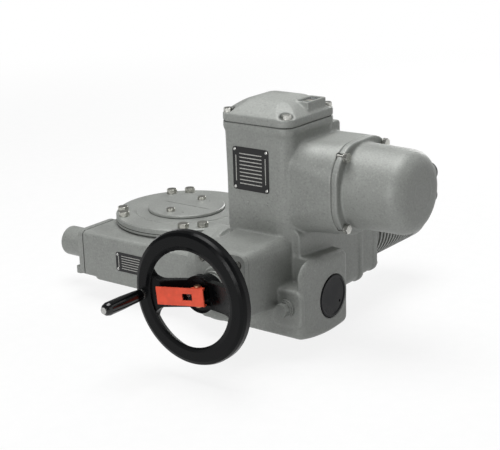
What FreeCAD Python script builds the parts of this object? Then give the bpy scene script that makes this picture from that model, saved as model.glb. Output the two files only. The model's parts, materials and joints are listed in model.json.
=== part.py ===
import FreeCAD, Part

import math
import os

from FreeCAD import Placement, Rotation, Vector

# Electric actuator that turns a valve by a quarter turn: a drive with motor and handwheel on
# the input of a worm gearbox. Lengths are millimetres and angles are degrees. The origin is
# on the gearbox's output axis, in the plane of its valve mounting face. +Z is up along the
# output axis, +X runs along the gearbox worm to the drive, and -Y points to the handwheel.

X_AXIS = Vector(1, 0, 0)
Y_AXIS = Vector(0, 1, 0)
Z_AXIS = Vector(0, 0, 1)

# Fits and clearances
RUNNING = 0.05        # radial clearance of a shaft in its bearing, or of a part on its shaft
LOOSE = 0.3           # clearance round a screw, and between faces that pass each other
TOOTH_PLAY = 0.35     # what each tooth flank gives way to its mate

# Screws: thread radius, width across flats, head height
SCREW_SIZES = {"M4": (2.0, 7.0, 3.0), "M5": (2.5, 8.0, 3.5), "M6": (3.0, 10.0, 4.0),
               "M8": (4.0, 13.0, 5.3), "M10": (5.0, 16.0, 6.4)}
WASHER_HEIGHT = 1.6

# Worm gearbox: gears
WHEEL_MODULE = 3.0
WHEEL_TEETH = 52
WHEEL_FACE = 18.0
WORM_PITCH_RADIUS = 22.0
WORM_HEIGHT = 44.0            # worm axis above the valve mounting face
WORM_THREAD_LENGTH = 76.0
WORM_JOURNAL_RADIUS = 15.0
GEAR_DISTANCE = WHEEL_MODULE * WHEEL_TEETH / 2 + WORM_PITCH_RADIUS

# Worm gearbox: casting
GEAR_CASE_RADIUS = 118.0
GEAR_CASE_TOP = 85.0
GEAR_CASE_BASE = 3.0          # underside of the casting above the valve mounting face
GEAR_FLOOR = 26.0             # inside floor of the wheel chamber
VALVE_PAD_RADIUS = 87.5
VALVE_SPIGOT_RADIUS = 50.0
VALVE_SPIGOT_DEPTH = 3.5
VALVE_BOLT_CIRCLE = 140.0
VALVE_BOLT_RADIUS = 7.0
VALVE_BOLT_DEPTH = 18.0
HUB_RADIUS = 48.0
BUSH_WALL = 5.0
WORM_BAR_HALF_WIDTH = 52.0
WORM_BAR_TOP = 83.0
WORM_BAR_BOTTOM = 4.0
WORM_BAR_LEFT = -106.0
WORM_BAR_RIGHT = 134.0
INPUT_FLANGE_RADIUS = 75.0
INPUT_FLANGE_WIDTH = 26.0
BASE_STEP_LEFT = -87.0        # rib under the worm's bar, level with the mounting face
BASE_STEP_RIGHT = 96.0
BASE_STEP_BOTTOM = 0.5

# Worm gearbox: cover and pointer
COVER_RADIUS = 122.0
COVER_THICKNESS = 15.0
COVER_STEP_RADIUS = 88.0
COVER_STEP_HEIGHT = 1.5
COVER_BOLT_CIRCLE_RADIUS = 110.0
COVER_BOLT_GRIP = 9.0         # length of the cover screws in the casting
COVER_BOLT_HALF_ANGLE = 8.5   # each corner pair of cover screws lies this far each side of 45
POINTER_RADIUS = 66.0
POINTER_THICKNESS = 5.5
POINTER_SCREW_RADIUS = 42.0

# Valve coupling
COUPLING_RADIUS = 30.0
COUPLING_LENGTH = 72.0
STEM_RADIUS = 18.0
STEM_KEY_WIDTH = 10.0
STEM_KEY_DEPTH = 3.3

# End stop and protective cap at the free end of the gearbox worm
STOP_PITCH = 3.0              # lead of the stop nut's thread
QUARTER_TURN = 90.0
STOP_TRAVEL = STOP_PITCH * QUARTER_TURN / 360 * WHEEL_TEETH
STOP_THREAD_RADIUS = 10.0
STOP_NUT_RADIUS = 15.5
STOP_NUT_LENGTH = 16.0
STOP_NUT_REACH = 42.0         # how far the nut at rest stands out of the end plate
STOP_KEY_WIDTH = 6.0
STOP_SLEEVE_WALL = 1.5
STOP_PLATE_THICKNESS = 12.0
STOP_PLATE_BACK_CORNER = 28.0 # the plate's corners on the wheel's side
STOP_PLATE_LUG = 9.0          # lug at the plate's lower front corner
CAP_RADIUS = 25.5
CAP_WALL = 3.0
CAP_LENGTH = 70.0
CAP_DROP = 4.0                # the cap's middle lies below the worm's axis

# Drive: gears on the output shaft, which runs along the gearbox worm's axis
DRIVE_MODULE = 2.0
DRIVE_TEETH = 34
DRIVE_STARTS = 2
DRIVE_FACE = 14.0
DRIVE_WORM_PITCH_RADIUS = 14.0
DRIVE_WORM_THREAD_LENGTH = 56.0
DRIVE_DISTANCE = DRIVE_MODULE * DRIVE_TEETH / 2 + DRIVE_WORM_PITCH_RADIUS
DRIVE_X = 275.0               # handwheel and motor axis, along Y
DRIVE_HEIGHT = WORM_HEIGHT + DRIVE_DISTANCE
HOLLOW_SHAFT_RADIUS = 24.0
HOLLOW_BORE_RADIUS = 17.0
SPLINE_RADIUS = 14.0
SPLINE_LENGTH = 50.0
DRIVE_SHAFT_RADIUS = 12.0

# Drive: casting
DRIVE_FLANGE_RADIUS = 78.0
DRIVE_FLANGE_THICKNESS = 14.0
DRIVE_FRONT = -182.0          # front plane of the lower casting
DRIVE_RIGHT = 367.0           # plane round the output plug
DRIVE_BACK = -54.0            # back plane of the lower casting
DRIVE_BOTTOM = -8.0
DRIVE_EDGE = 12.0             # round edges of the lower casting
DRIVE_SHOULDER = 28.0         # rounder edge along its front top
VALLEY_RIGHT = 357.0          # recess in the front, between the boss and the case's corner
VALLEY_BACK = -150.0
VALLEY_LEDGE = 74.0
NECK_X = 270.5
NECK_Y = -98.0
NECK_HALF_WIDTH = 65.0
NECK_CORNER = 20.0
NECK_RIM_HEIGHT = 311.0
NECK_WALL = 9.0
NECK_FLOOR = 150.0
BARREL_HALF_WIDTH = 66.0
BARREL_FRONT = -148.0
BARREL_BACK = 27.0
RATING_PLATE_HALF = 33.0
RATING_PLATE_DROP = 69.0      # plate's middle below the neck's rim
GEARBOX_PLATE_HALF_WIDTH = 33.0
GEARBOX_PLATE_HALF_HEIGHT = 16.5
PLATE_THICKNESS = 0.8
PLATE_PIN_INSET = 4.0
BOSS_HALF_WIDTH = 46.0
BOSS_HALF_HEIGHT = 50.0
BOSS_FRONT = -249.0
PLUG_RADIUS = 34.0
PLUG_DEPTH = 18.0
FRONT_PLUG_X = 341.5
FRONT_PLUG_Z = 46.0
FRONT_PLUG_RADIUS = 14.0
FRONT_PAD = 3.0               # how far the pad round the front plug stands out

# Drive: control cover
CONTROL_SCREW_HALF_SPACING = 53.0
CONTROL_RIM = 12.0
CONTROL_SHOULDER = 31.5       # height of the dome's shoulder over the split
CONTROL_SHOULDER_HALF = 34.0
CONTROL_DOME = 36.0
CONTROL_BULGE = 0.35          # how far the dome's slopes swell over straight ones
CONTROL_POCKET_RADIUS = 10.5
CONTROL_FACET_FOOT = 79.0     # corner facets at the rim's top, out from the middle
CONTROL_FACET_TOP = 44.0      # corner facets at the shoulder
CONTROL_WALL = 4.0
WINDOW_LOW = Vector(304.0, -106.0, 0)
WINDOW_HIGH = Vector(331.0, -59.0, 0)
WINDOW_TOP = 30.0             # top of the window block over the split
WINDOW_GLASS = 3.0
INDICATOR_RADIUS = 13.0
SWITCH_CARRIER = 6.0          # thickness of the plate that the switch blocks sit on

# Drive: plug connector
CONNECTOR_Y = -72.0
CONNECTOR_DROP = 93.5         # connector's axis below the neck's rim
CONNECTOR_SPLIT = 397.0
CONNECTOR_HALF_WIDTH = 76.0
CONNECTOR_HALF_HEIGHT = 70.5
CONNECTOR_CORNER = 56.0
CONNECTOR_FLANGE = 10.0
CONNECTOR_SCREW_HALF_SPACING = 53.5
CONNECTOR_CAP_LENGTH = 97.5
CONNECTOR_CAP_RADIUS = 64.5
CONNECTOR_CAP_END_RADIUS = 62.5
CONNECTOR_CAP_EDGE = 26.0
CONNECTOR_CAP_RING = 25.0     # thin ring on the cap's end
CONNECTOR_WALL = 5.0
CONNECTOR_BORE_RADIUS = 56.0
SOCKET_THICKNESS = 20.0
CABLE_ENTRY_RADII = (16.0, 12.5, 12.5)

# Drive: motor
MOTOR_FLANGE_LENGTH = 49.0
MOTOR_FLANGE_HALF_WIDTH = 64.0
MOTOR_RADIUS = 63.5
MOTOR_CORE_RADIUS = 57.0
MOTOR_LENGTH = 165.0
MOTOR_FIN_PITCH = 11.0
MOTOR_FIN_THICKNESS = 4.5
MOTOR_BORE_RADIUS = 50.0

# Handwheel
WHEEL_FRONT = -332.0          # plane of the rim's front face
RIM_RADIUS = 100.0
RIM_INNER_RADIUS = 72.0
RIM_BACK_RADIUS = 83.0        # the rim's inner side widens to the back
RIM_DEPTH = 22.0
SPOKE_HALF_WIDTH = 20.5
SPOKE_THICKNESS = 9.0
DISH_DEPTH = 22.0             # how far the hub lies behind the rim
WHEEL_HUB_RADIUS = 24.0
WHEEL_HUB_LENGTH = 26.0
WHEEL_TILT = 5.5              # how far the spoke bar is turned up on the right at rest
HUB_SCREW_OFFSET = 17.0
GRIP_OFFSET = 87.0
GRIP_RADIUS = 10.0
GRIP_LENGTH = 77.0
GRIP_PIN_RADIUS = 4.0

# Changeover lever in the handwheel's hub
LEVER_PIVOT_X = 4.0
LEVER_PIVOT_DEPTH = 19.0      # pivot behind the rim's front plane
LEVER_LENGTH_LEFT = 66.0
LEVER_LENGTH_RIGHT = 13.0
LEVER_REACH = 8.5             # lever's face in front of the pivot
LEVER_LUG_RADIUS = 5.0
LEVER_POCKET_DEPTH = 7.5      # recess in the hub where the lever's heel swings
LEVER_HALF_WIDTH = 13.5
LEVER_SHEET = 2.5
LEVER_WINDOW_X = -10.0
LEVER_WINDOW_HALF_WIDTH = 8.0
LEVER_WINDOW_HALF_HEIGHT = 5.0
LEVER_RISE = 9.0              # the lever's resting slope along the dished spoke
LEVER_PIN_RADIUS = 3.0
CLUTCH_ROD_RADIUS = 4.0


def point(x, y, z):
    return Vector(x, y, z)


def rod(start, direction, radius, length):
    return Part.makeCylinder(radius, length, start, direction)


def tube(start, direction, outer, inner, length):
    return rod(start, direction, outer, length).cut(rod(start, direction, inner, length))


def block(low, high):
    size = high - low
    return Part.makeBox(size.x, size.y, size.z, low)


def group(shapes):
    return Part.makeCompound(list(shapes))


def joined(first, *others):
    return first.multiFuse(list(others)).removeSplitter()


def placed(shape, start, direction, upright=Z_AXIS):
    """Moves a shape built along its own Z to start, along direction, with its Y upright."""
    copy = shape.copy()
    turn = Rotation(upright.cross(direction), upright, direction, "ZYX")
    copy.Placement = Placement(start, turn)
    return copy


def softened(shape, direction, radius):
    """Rounds the straight edges that run along direction."""
    edges = [edge for edge in shape.Edges
             if isinstance(edge.Curve, Part.Line)
             and abs(edge.tangentAt(edge.FirstParameter).dot(direction)) > 0.999]
    return shape.makeFillet(radius, edges)


def edges_at(shape, direction, distance):
    """The edges that lie wholly in the plane at that distance along direction."""
    return [edge for edge in shape.Edges
            if all(abs(vertex.Point.dot(direction) - distance) < 1e-4 for vertex in edge.Vertexes)
            and abs(edge.CenterOfMass.dot(direction) - distance) < 1e-4]


def turned(start, direction, outline):
    """Solid of revolution round direction from (along, radius) points."""
    points = [Vector(radius, 0, along) for along, radius in outline]
    face = Part.Face(Part.makePolygon(points + points[:1]))
    return placed(face.revolve(Vector(0, 0, 0), Z_AXIS, 360), start, direction,
                  X_AXIS if abs(direction.dot(Z_AXIS)) > 0.9 else Z_AXIS)


def rounded_outline(half_width, half_height, corner, level=0.0):
    """Closed wire of a rectangle with round corners in its own XY plane."""
    u, v = half_width - corner, half_height - corner
    diagonal = corner / math.sqrt(2)
    edges = []
    for side_u, side_v, along_u in ((1, 1, False), (-1, 1, True), (-1, -1, False), (1, -1, True)):
        centre = Vector(side_u * u, side_v * v, level)
        first = Vector(corner * side_u, 0, 0)
        last = Vector(0, corner * side_v, 0)
        start, end = (last, first) if along_u else (first, last)
        middle = Vector(diagonal * side_u, diagonal * side_v, 0)
        edges.append(Part.Arc(centre + start, centre + middle, centre + end).toShape())
    lines = []
    for number, arc in enumerate(edges):
        here = arc.lastVertex(True).Point
        there = edges[(number + 1) % 4].firstVertex(True).Point
        if (there - here).Length > 1e-6:
            lines.append(Part.makeLine(here, there))
    return Part.Wire(Part.__sortEdges__(edges + lines))


def rounded_prism(start, direction, half_width, half_height, corner, length, upright=Z_AXIS):
    face = Part.Face(rounded_outline(half_width, half_height, corner))
    return placed(face.extrude(Vector(0, 0, length)), start, direction, upright)


def tapered_prism(start, direction, first, last, length, upright=Z_AXIS):
    """Loft between two rounded outlines, each given as half width, half height, corner."""
    loft = Part.makeLoft([rounded_outline(*first), rounded_outline(*last, length)], True, True)
    return placed(loft, start, direction, upright)


def hexagon(across_flats, height):
    radius = across_flats / math.sqrt(3)
    corners = [Vector(radius * math.cos(math.radians(60 * n)),
                      radius * math.sin(math.radians(60 * n)), 0) for n in range(6)]
    return Part.Face(Part.makePolygon(corners + corners[:1])).extrude(Vector(0, 0, height))


def hex_screw(size, seat, inward, length, washer=True):
    """Hexagon screw whose head rests on seat and whose shank points inward."""
    radius, flats, head_height = SCREW_SIZES[size]
    spread = WASHER_HEIGHT if washer else 0.0
    solid = hexagon(flats, head_height)
    solid.translate(Vector(0, 0, spread))
    chamfer = Part.makeCone(flats / 2 + head_height, flats / 2 - 0.2, head_height + 0.2)
    chamfer.translate(Vector(0, 0, spread))
    solid = solid.common(chamfer)
    if washer:
        solid = solid.fuse(Part.makeCylinder(flats * 0.56, WASHER_HEIGHT))
    solid = solid.fuse(rod(Vector(0, 0, -length), Z_AXIS, radius, length))
    upright = X_AXIS if abs(inward.dot(Z_AXIS)) > 0.9 else Z_AXIS
    return placed(solid, seat, inward * -1, upright)


def socket_screw(size, seat, inward, length):
    """Cylinder-head screw with a hexagon socket."""
    radius, flats, head_height = SCREW_SIZES[size]
    head = Part.makeCylinder(flats / 2, 2 * radius)
    socket = hexagon(1.6 * radius, radius * 1.2)
    socket.translate(Vector(0, 0, 0.9 * radius))
    solid = head.cut(socket).fuse(rod(Vector(0, 0, -length), Z_AXIS, radius, length))
    upright = X_AXIS if abs(inward.dot(Z_AXIS)) > 0.9 else Z_AXIS
    return placed(solid, seat, inward * -1, upright)


def screw_holes(size, seats, inward, length):
    radius = SCREW_SIZES[size][0] + LOOSE
    return [rod(seat, inward, radius, length) for seat in seats]


def screw_passage(size, seats, inward, length):
    """Hole with a recess that lets the screw's head sink in, drawn from the seat outwards."""
    width = SCREW_SIZES[size][1] * 0.6 + LOOSE
    return [rod(seat, inward * -1, width, length) for seat in seats]


def gear_outline(module, teeth, turn, level):
    """Toothed outline whose gap, not tooth, points along its own X when turn is 0."""
    pitch_radius = module * teeth / 2
    half_tooth = math.pi * module / 4 - TOOTH_PLAY
    slope = math.tan(math.radians(20))
    # a tooth flank curves back from its tangent at the tip and the root
    relief = 0.17
    flank = ((pitch_radius - 1.25 * module, half_tooth + 1.25 * module * slope - 1.5 * relief),
             (pitch_radius, half_tooth),
             (pitch_radius + module, half_tooth - module * slope - relief))
    points = []
    for tooth in range(teeth):
        middle = math.radians(turn + (tooth + 0.5) * 360 / teeth)
        for radius, half in flank:
            angle = middle - half / radius
            points.append(Vector(radius * math.cos(angle), radius * math.sin(angle), level))
        for radius, half in reversed(flank):
            angle = middle + half / radius
            points.append(Vector(radius * math.cos(angle), radius * math.sin(angle), level))
    return Part.makePolygon(points + points[:1])


def worm_gear_rim(module, teeth, face, lead_slope, gap_direction, centre, axis):
    """Right-hand helical teeth centred on a point, with one gap facing gap_direction."""
    twist = math.degrees(lead_slope * face / 2 / (module * teeth / 2))
    wires = [gear_outline(module, teeth, -twist, -face / 2),
             gear_outline(module, teeth, twist, face / 2)]
    rim = Part.makeLoft(wires, True, True)
    return placed(rim, centre, axis, axis.cross(gap_direction))


def worm_thread(module, starts, pitch_radius, length, ridge_direction, centre, axis):
    """Right-hand worm thread on its core, with a ridge facing ridge_direction at the centre."""
    lead = math.pi * module * starts
    tip, root = pitch_radius + module, pitch_radius - 1.25 * module
    slope = math.tan(math.radians(20))
    half_ridge = math.pi * module / 4
    outer_half = half_ridge - module * slope
    inner_half = half_ridge + (1.25 * module + 0.5) * slope
    height = length + 2 * lead
    core = Part.makeCylinder(root, length, Vector(0, 0, -length / 2))
    band = Part.makeCylinder(tip + 1, length, Vector(0, 0, -length / 2))
    # the round faces' seams are kept away from the thread's ends
    core.rotate(Vector(0, 0, 0), Z_AXIS, 37)
    band.rotate(Vector(0, 0, 0), Z_AXIS, 11)
    solid = core
    for start in range(starts):
        helix = Part.makeHelix(lead, height, pitch_radius)
        profile = Part.makePolygon([
            Vector(root - 0.5, 0, -inner_half), Vector(tip, 0, -outer_half),
            Vector(tip, 0, outer_half), Vector(root - 0.5, 0, inner_half),
            Vector(root - 0.5, 0, -inner_half)])
        ridge = Part.Wire(helix).makePipeShell([profile], True, True)
        ridge.translate(Vector(0, 0, -height / 2))
        # a ridge that starts at angle 0 has turned by this much at mid length
        turned_by = 360 * height / 2 / lead
        ridge.rotate(Vector(0, 0, 0), Z_AXIS, start * 360 / starts - turned_by)
        solid = solid.fuse(ridge.common(band))
    return placed(solid, centre, axis, axis.cross(ridge_direction))


def bearing(start, direction, outer, inner, width):
    """Closed ball bearing as one ring with a groove between its races on both faces."""
    middle, groove = (outer + inner) / 2, (outer - inner) / 6
    ring = tube(start, direction, outer, inner + RUNNING, width)
    for offset in (0, width - 1):
        ring = ring.cut(tube(start + direction * offset, direction, middle + groove,
                             middle - groove, 1))
    return ring


# Places that several pieces share

worm_line = point(0, -GEAR_DISTANCE, WORM_HEIGHT)
worm_tip_radius = WORM_PITCH_RADIUS + WHEEL_MODULE
worm_bearing_radius = 27.5
worm_bearing_width = 13.0
worm_bearing_left = -WORM_THREAD_LENGTH / 2 - 27.0
worm_bearing_right = WORM_THREAD_LENGTH / 2 + 27.0
cover_top = GEAR_CASE_TOP + COVER_THICKNESS
step_top = cover_top + COVER_STEP_HEIGHT
hub_top = cover_top - 2.0
pointer_bottom = step_top + LOOSE
pointer_top = pointer_bottom + POINTER_THICKNESS
flange_split = WORM_BAR_RIGHT + INPUT_FLANGE_WIDTH
stop_plate_left = WORM_BAR_LEFT - STOP_PLATE_THICKNESS
stop_sleeve_radius = STOP_NUT_RADIUS + LOOSE + STOP_SLEEVE_WALL
stop_nut_rest = stop_plate_left - STOP_NUT_REACH
drive_cross = point(DRIVE_X, -GEAR_DISTANCE, DRIVE_HEIGHT)
wheel_cross = point(DRIVE_X, -GEAR_DISTANCE, WORM_HEIGHT)
drive_bearing_front = -172.0
drive_bearing_back = BARREL_BACK - 22.0
drive_bearing_radius = 26.0
drive_bearing_width = 14.0
hollow_bearing_radius = 40.0
hollow_bearing_width = 14.0
hollow_left = flange_split + 6.0
hollow_bearing_left = 192.0
hollow_bearing_right = 334.0
plug_seat = DRIVE_RIGHT - PLUG_DEPTH
front_plug_face = DRIVE_FRONT - FRONT_PAD - 0.5
window_top = NECK_RIM_HEIGHT + WINDOW_TOP
rating_plate_centre = point(NECK_X - 6.5, NECK_Y - NECK_HALF_WIDTH + 2.0,
                            NECK_RIM_HEIGHT - RATING_PLATE_DROP)
gearbox_plate_centre = point(3, -GEAR_DISTANCE - WORM_BAR_HALF_WIDTH,
                             (WORM_BAR_TOP + WORM_BAR_BOTTOM) / 2)
connector_z = NECK_RIM_HEIGHT - CONNECTOR_DROP
connector_axis = point(CONNECTOR_SPLIT, CONNECTOR_Y, connector_z)
connector_face = CONNECTOR_SPLIT + CONNECTOR_FLANGE
connector_end = connector_face + CONNECTOR_CAP_LENGTH
cable_boss_reach = CONNECTOR_Y + CONNECTOR_CAP_RADIUS + 4
motor_front = BARREL_BACK + MOTOR_FLANGE_LENGTH
motor_end = motor_front + MOTOR_LENGTH
wheel_centre = point(DRIVE_X, WHEEL_FRONT, DRIVE_HEIGHT)
hub_front = DISH_DEPTH + 4.0
hub_back = hub_front + WHEEL_HUB_LENGTH
shaft_front = hub_front + LEVER_POCKET_DEPTH + 1.5
boss_plate = 8.0
boss_face = BOSS_FRONT - boss_plate


def cover_screw_seats():
    seats = []
    for corner in (45, 135, 225, 315):
        for side in (-1, 1):
            angle = math.radians(corner + side * COVER_BOLT_HALF_ANGLE)
            seats.append(point(COVER_BOLT_CIRCLE_RADIUS * math.cos(angle),
                               COVER_BOLT_CIRCLE_RADIUS * math.sin(angle), cover_top))
    return seats


def square_points(centre, along_u, along_v, half_u, half_v):
    return [centre + along_u * (side_u * half_u) + along_v * (side_v * half_v)
            for side_u in (-1, 1) for side_v in (-1, 1)]


def stop_plate_seats():
    centre = point(stop_plate_left, -GEAR_DISTANCE, WORM_HEIGHT)
    return square_points(centre, Y_AXIS, Z_AXIS, 28.0, 26.0)


def input_flange_seats():
    """Screws that hold the drive to the gearbox, seen from the gearbox side."""
    radius = INPUT_FLANGE_RADIUS - 12.0
    return [point(flange_split - 12.0, -GEAR_DISTANCE + radius * math.cos(math.radians(angle)),
                  WORM_HEIGHT + radius * math.sin(math.radians(angle)))
            for angle in (45, 135, 225, 315)]


def boss_screw_seats():
    return square_points(point(DRIVE_X, boss_face, DRIVE_HEIGHT), X_AXIS, Z_AXIS,
                         BOSS_HALF_WIDTH - 12.5, BOSS_HALF_HEIGHT - 14.5)


def control_screw_seats():
    return square_points(point(NECK_X, NECK_Y, NECK_RIM_HEIGHT + CONTROL_RIM), X_AXIS, Y_AXIS,
                         CONTROL_SCREW_HALF_SPACING, CONTROL_SCREW_HALF_SPACING)


def connector_screw_seats():
    centre = point(connector_face, CONNECTOR_Y, connector_z)
    return square_points(centre, Y_AXIS, Z_AXIS, CONNECTOR_SCREW_HALF_SPACING,
                         CONNECTOR_SCREW_HALF_SPACING)


def motor_screw_seats():
    centre = point(DRIVE_X, motor_front, DRIVE_HEIGHT)
    return square_points(centre, X_AXIS, Z_AXIS, 53.0, 53.0)


def motor_end_seats():
    radius = (MOTOR_RADIUS + MOTOR_BORE_RADIUS) / 2
    return [point(DRIVE_X + radius * math.cos(math.radians(angle)), motor_end + 3,
                  DRIVE_HEIGHT + radius * math.sin(math.radians(angle)))
            for angle in (0, 90, 180, 270)]


def pointer_screw_seats():
    return [point(0, side * POINTER_SCREW_RADIUS, pointer_top) for side in (-1, 1)]


# Worm gearbox

def make_gear_housing():
    """Round wheel case with the worm's bar across its front and the input flange."""
    case = turned(point(0, 0, 0), Z_AXIS, [
        (0, 0), (0, VALVE_PAD_RADIUS), (GEAR_CASE_BASE, VALVE_PAD_RADIUS),
        (GEAR_CASE_BASE, GEAR_CASE_RADIUS - 6), (GEAR_CASE_BASE + 6, GEAR_CASE_RADIUS),
        (GEAR_CASE_TOP, GEAR_CASE_RADIUS), (GEAR_CASE_TOP, 0)])
    bar = block(point(WORM_BAR_LEFT, -GEAR_DISTANCE - WORM_BAR_HALF_WIDTH, WORM_BAR_BOTTOM),
                point(WORM_BAR_RIGHT, -GEAR_DISTANCE + WORM_BAR_HALF_WIDTH, WORM_BAR_TOP))
    bar = softened(bar, X_AXIS, 7.0)
    base = block(point(BASE_STEP_LEFT, -GEAR_DISTANCE - WORM_BAR_HALF_WIDTH + 2,
                       BASE_STEP_BOTTOM),
                 point(BASE_STEP_RIGHT, -GEAR_DISTANCE, WORM_BAR_BOTTOM + 8))
    base = softened(base, Z_AXIS, 12.0)
    flange = rod(point(WORM_BAR_RIGHT, worm_line.y, WORM_HEIGHT), X_AXIS, INPUT_FLANGE_RADIUS,
                 INPUT_FLANGE_WIDTH)
    throat = Part.makeCone(40, INPUT_FLANGE_RADIUS - 8, 44,
                           point(WORM_BAR_RIGHT - 44, worm_line.y, WORM_HEIGHT), X_AXIS)
    housing = joined(case, bar, base, throat, flange)
    return housing.cut(group(gear_housing_voids()))


def gear_housing_voids():
    wheel_chamber_radius = WHEEL_MODULE * (WHEEL_TEETH / 2 + 1) + 3
    voids = [
        rod(point(0, 0, GEAR_FLOOR), Z_AXIS, wheel_chamber_radius, GEAR_CASE_TOP),
        rod(point(0, 0, VALVE_SPIGOT_DEPTH), Z_AXIS, HUB_RADIUS + BUSH_WALL, GEAR_FLOOR),
        rod(point(0, 0, -1), Z_AXIS, VALVE_SPIGOT_RADIUS, VALVE_SPIGOT_DEPTH + 1),
        rod(worm_line - X_AXIS * (WORM_THREAD_LENGTH / 2 + 14), X_AXIS, worm_tip_radius + 3,
            WORM_THREAD_LENGTH + 28),
        rod(point(WORM_BAR_LEFT - 1, worm_line.y, WORM_HEIGHT), X_AXIS, worm_bearing_radius,
            1 + worm_bearing_left + worm_bearing_width - WORM_BAR_LEFT),
        rod(point(worm_bearing_right - worm_bearing_width, worm_line.y, WORM_HEIGHT), X_AXIS,
            worm_bearing_radius, 40),
        rod(point(worm_bearing_right + 24, worm_line.y, WORM_HEIGHT), X_AXIS, 50,
            flange_split - worm_bearing_right),
        # machined face that the end plate sits on
        block(point(WORM_BAR_LEFT - GEAR_CASE_RADIUS, worm_line.y - WORM_BAR_HALF_WIDTH - 1,
                    WORM_BAR_BOTTOM - 1),
              point(WORM_BAR_LEFT, worm_line.y + WORM_BAR_HALF_WIDTH + LOOSE, GEAR_CASE_TOP)),
    ]
    voids += screw_holes("M10", cover_screw_seats(), Z_AXIS * -1,
                         COVER_THICKNESS + COVER_BOLT_GRIP + LOOSE)
    voids += screw_holes("M8", stop_plate_seats(), X_AXIS, STOP_PLATE_THICKNESS + 22)
    for seat in input_flange_seats():
        voids.append(rod(seat - X_AXIS * 30, X_AXIS, 5.3, 60))
        voids.append(rod(seat - X_AXIS * 60, X_AXIS, 11.0, 60))
    for angle in (45, 135, 225, 315):
        hole = point(VALVE_BOLT_CIRCLE / 2 * math.cos(math.radians(angle)),
                     VALVE_BOLT_CIRCLE / 2 * math.sin(math.radians(angle)), -1)
        voids.append(rod(hole, Z_AXIS, VALVE_BOLT_RADIUS, VALVE_BOLT_DEPTH + 1))
    return voids


def make_wheel_bushes():
    lower = tube(point(0, 0, 8), Z_AXIS, HUB_RADIUS + BUSH_WALL, HUB_RADIUS + RUNNING,
                 GEAR_FLOOR - 8)
    upper = tube(point(0, 0, GEAR_CASE_TOP - 4), Z_AXIS, HUB_RADIUS + BUSH_WALL,
                 HUB_RADIUS + RUNNING, COVER_THICKNESS)
    return group([lower, upper])


def make_lower_seal():
    return tube(point(0, 0, VALVE_SPIGOT_DEPTH), Z_AXIS, HUB_RADIUS + BUSH_WALL,
                HUB_RADIUS + RUNNING, 8 - VALVE_SPIGOT_DEPTH)


def make_bearing_cover():
    plate = turned(point(0, 0, GEAR_CASE_TOP), Z_AXIS, [
        (-5, HUB_RADIUS), (-5, 83.5), (0, 83.5), (0, COVER_RADIUS - 1.5), (1.5, COVER_RADIUS),
        (COVER_THICKNESS - 2, COVER_RADIUS), (COVER_THICKNESS, COVER_RADIUS - 2),
        (COVER_THICKNESS, COVER_STEP_RADIUS), (COVER_THICKNESS + COVER_STEP_HEIGHT,
                                               COVER_STEP_RADIUS - 1),
        (COVER_THICKNESS + COVER_STEP_HEIGHT, HUB_RADIUS)])
    bush_bore = rod(point(0, 0, GEAR_CASE_TOP - 6), Z_AXIS, HUB_RADIUS + BUSH_WALL,
                    COVER_THICKNESS + 2)
    mouth = rod(point(0, 0, GEAR_CASE_TOP - 6), Z_AXIS, HUB_RADIUS + LOOSE, 40)
    holes = screw_holes("M10", cover_screw_seats(), Z_AXIS * -1, COVER_THICKNESS + 1)
    return plate.cut(group([bush_bore, mouth] + holes))


def make_cover_screws():
    return group(hex_screw("M10", seat, Z_AXIS * -1, COVER_THICKNESS + COVER_BOLT_GRIP)
                 for seat in cover_screw_seats())


def make_worm_wheel():
    """Bronze wheel with its bearing journals, a thinner web and a keyed bore."""
    lead_slope = WHEEL_MODULE / (2 * WORM_PITCH_RADIUS)
    centre = point(0, 0, WORM_HEIGHT)
    rim = worm_gear_rim(WHEEL_MODULE, WHEEL_TEETH, WHEEL_FACE, lead_slope, Y_AXIS * -1, centre,
                        Z_AXIS)
    root = WHEEL_MODULE * (WHEEL_TEETH / 2 - 1.25)
    recess_outer, recess_inner, recess_depth = root - 7, HUB_RADIUS + 6, 4
    for height, way in ((WORM_HEIGHT + WHEEL_FACE / 2, -1), (WORM_HEIGHT - WHEEL_FACE / 2, 1)):
        rim = rim.cut(tube(point(0, 0, height), Z_AXIS * way, recess_outer, recess_inner,
                           recess_depth))
    hub = rod(point(0, 0, VALVE_SPIGOT_DEPTH + 0.5), Z_AXIS, HUB_RADIUS,
              hub_top - VALVE_SPIGOT_DEPTH - 0.5)
    bore = rod(point(0, 0, 0), Z_AXIS, COUPLING_RADIUS + RUNNING,
               VALVE_SPIGOT_DEPTH + COUPLING_LENGTH + 1)
    holes = screw_holes("M8", pointer_screw_seats(), Z_AXIS * -1, 26)
    return rim.fuse(hub).cut(group([bore, coupling_keys(RUNNING)] + holes))


def coupling_keys(play):
    """Four splines round the coupling, which slot into the wheel's bore."""
    reach = COUPLING_RADIUS + 3 + play
    half = 4 + play
    low = VALVE_SPIGOT_DEPTH + 0.5 - play * 10
    bars = [block(point(-reach, -half, low), point(reach, half, COUPLING_LENGTH + play)),
            block(point(-half, -reach, low), point(half, reach, COUPLING_LENGTH + play))]
    return bars[0].fuse(bars[1])


def make_valve_coupling():
    """Sleeve that takes the valve's keyed stem and turns with the wheel."""
    sleeve = rod(point(0, 0, VALVE_SPIGOT_DEPTH + 0.5), Z_AXIS, COUPLING_RADIUS,
                 COUPLING_LENGTH - VALVE_SPIGOT_DEPTH)
    bore = rod(point(0, 0, 0), Z_AXIS, STEM_RADIUS, COUPLING_LENGTH + 10)
    keyway = block(point(-STEM_KEY_WIDTH / 2, 0, 0),
                   point(STEM_KEY_WIDTH / 2, STEM_RADIUS + STEM_KEY_DEPTH, COUPLING_LENGTH + 10))
    return sleeve.fuse(coupling_keys(0)).cut(bore.fuse(keyway))


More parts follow.
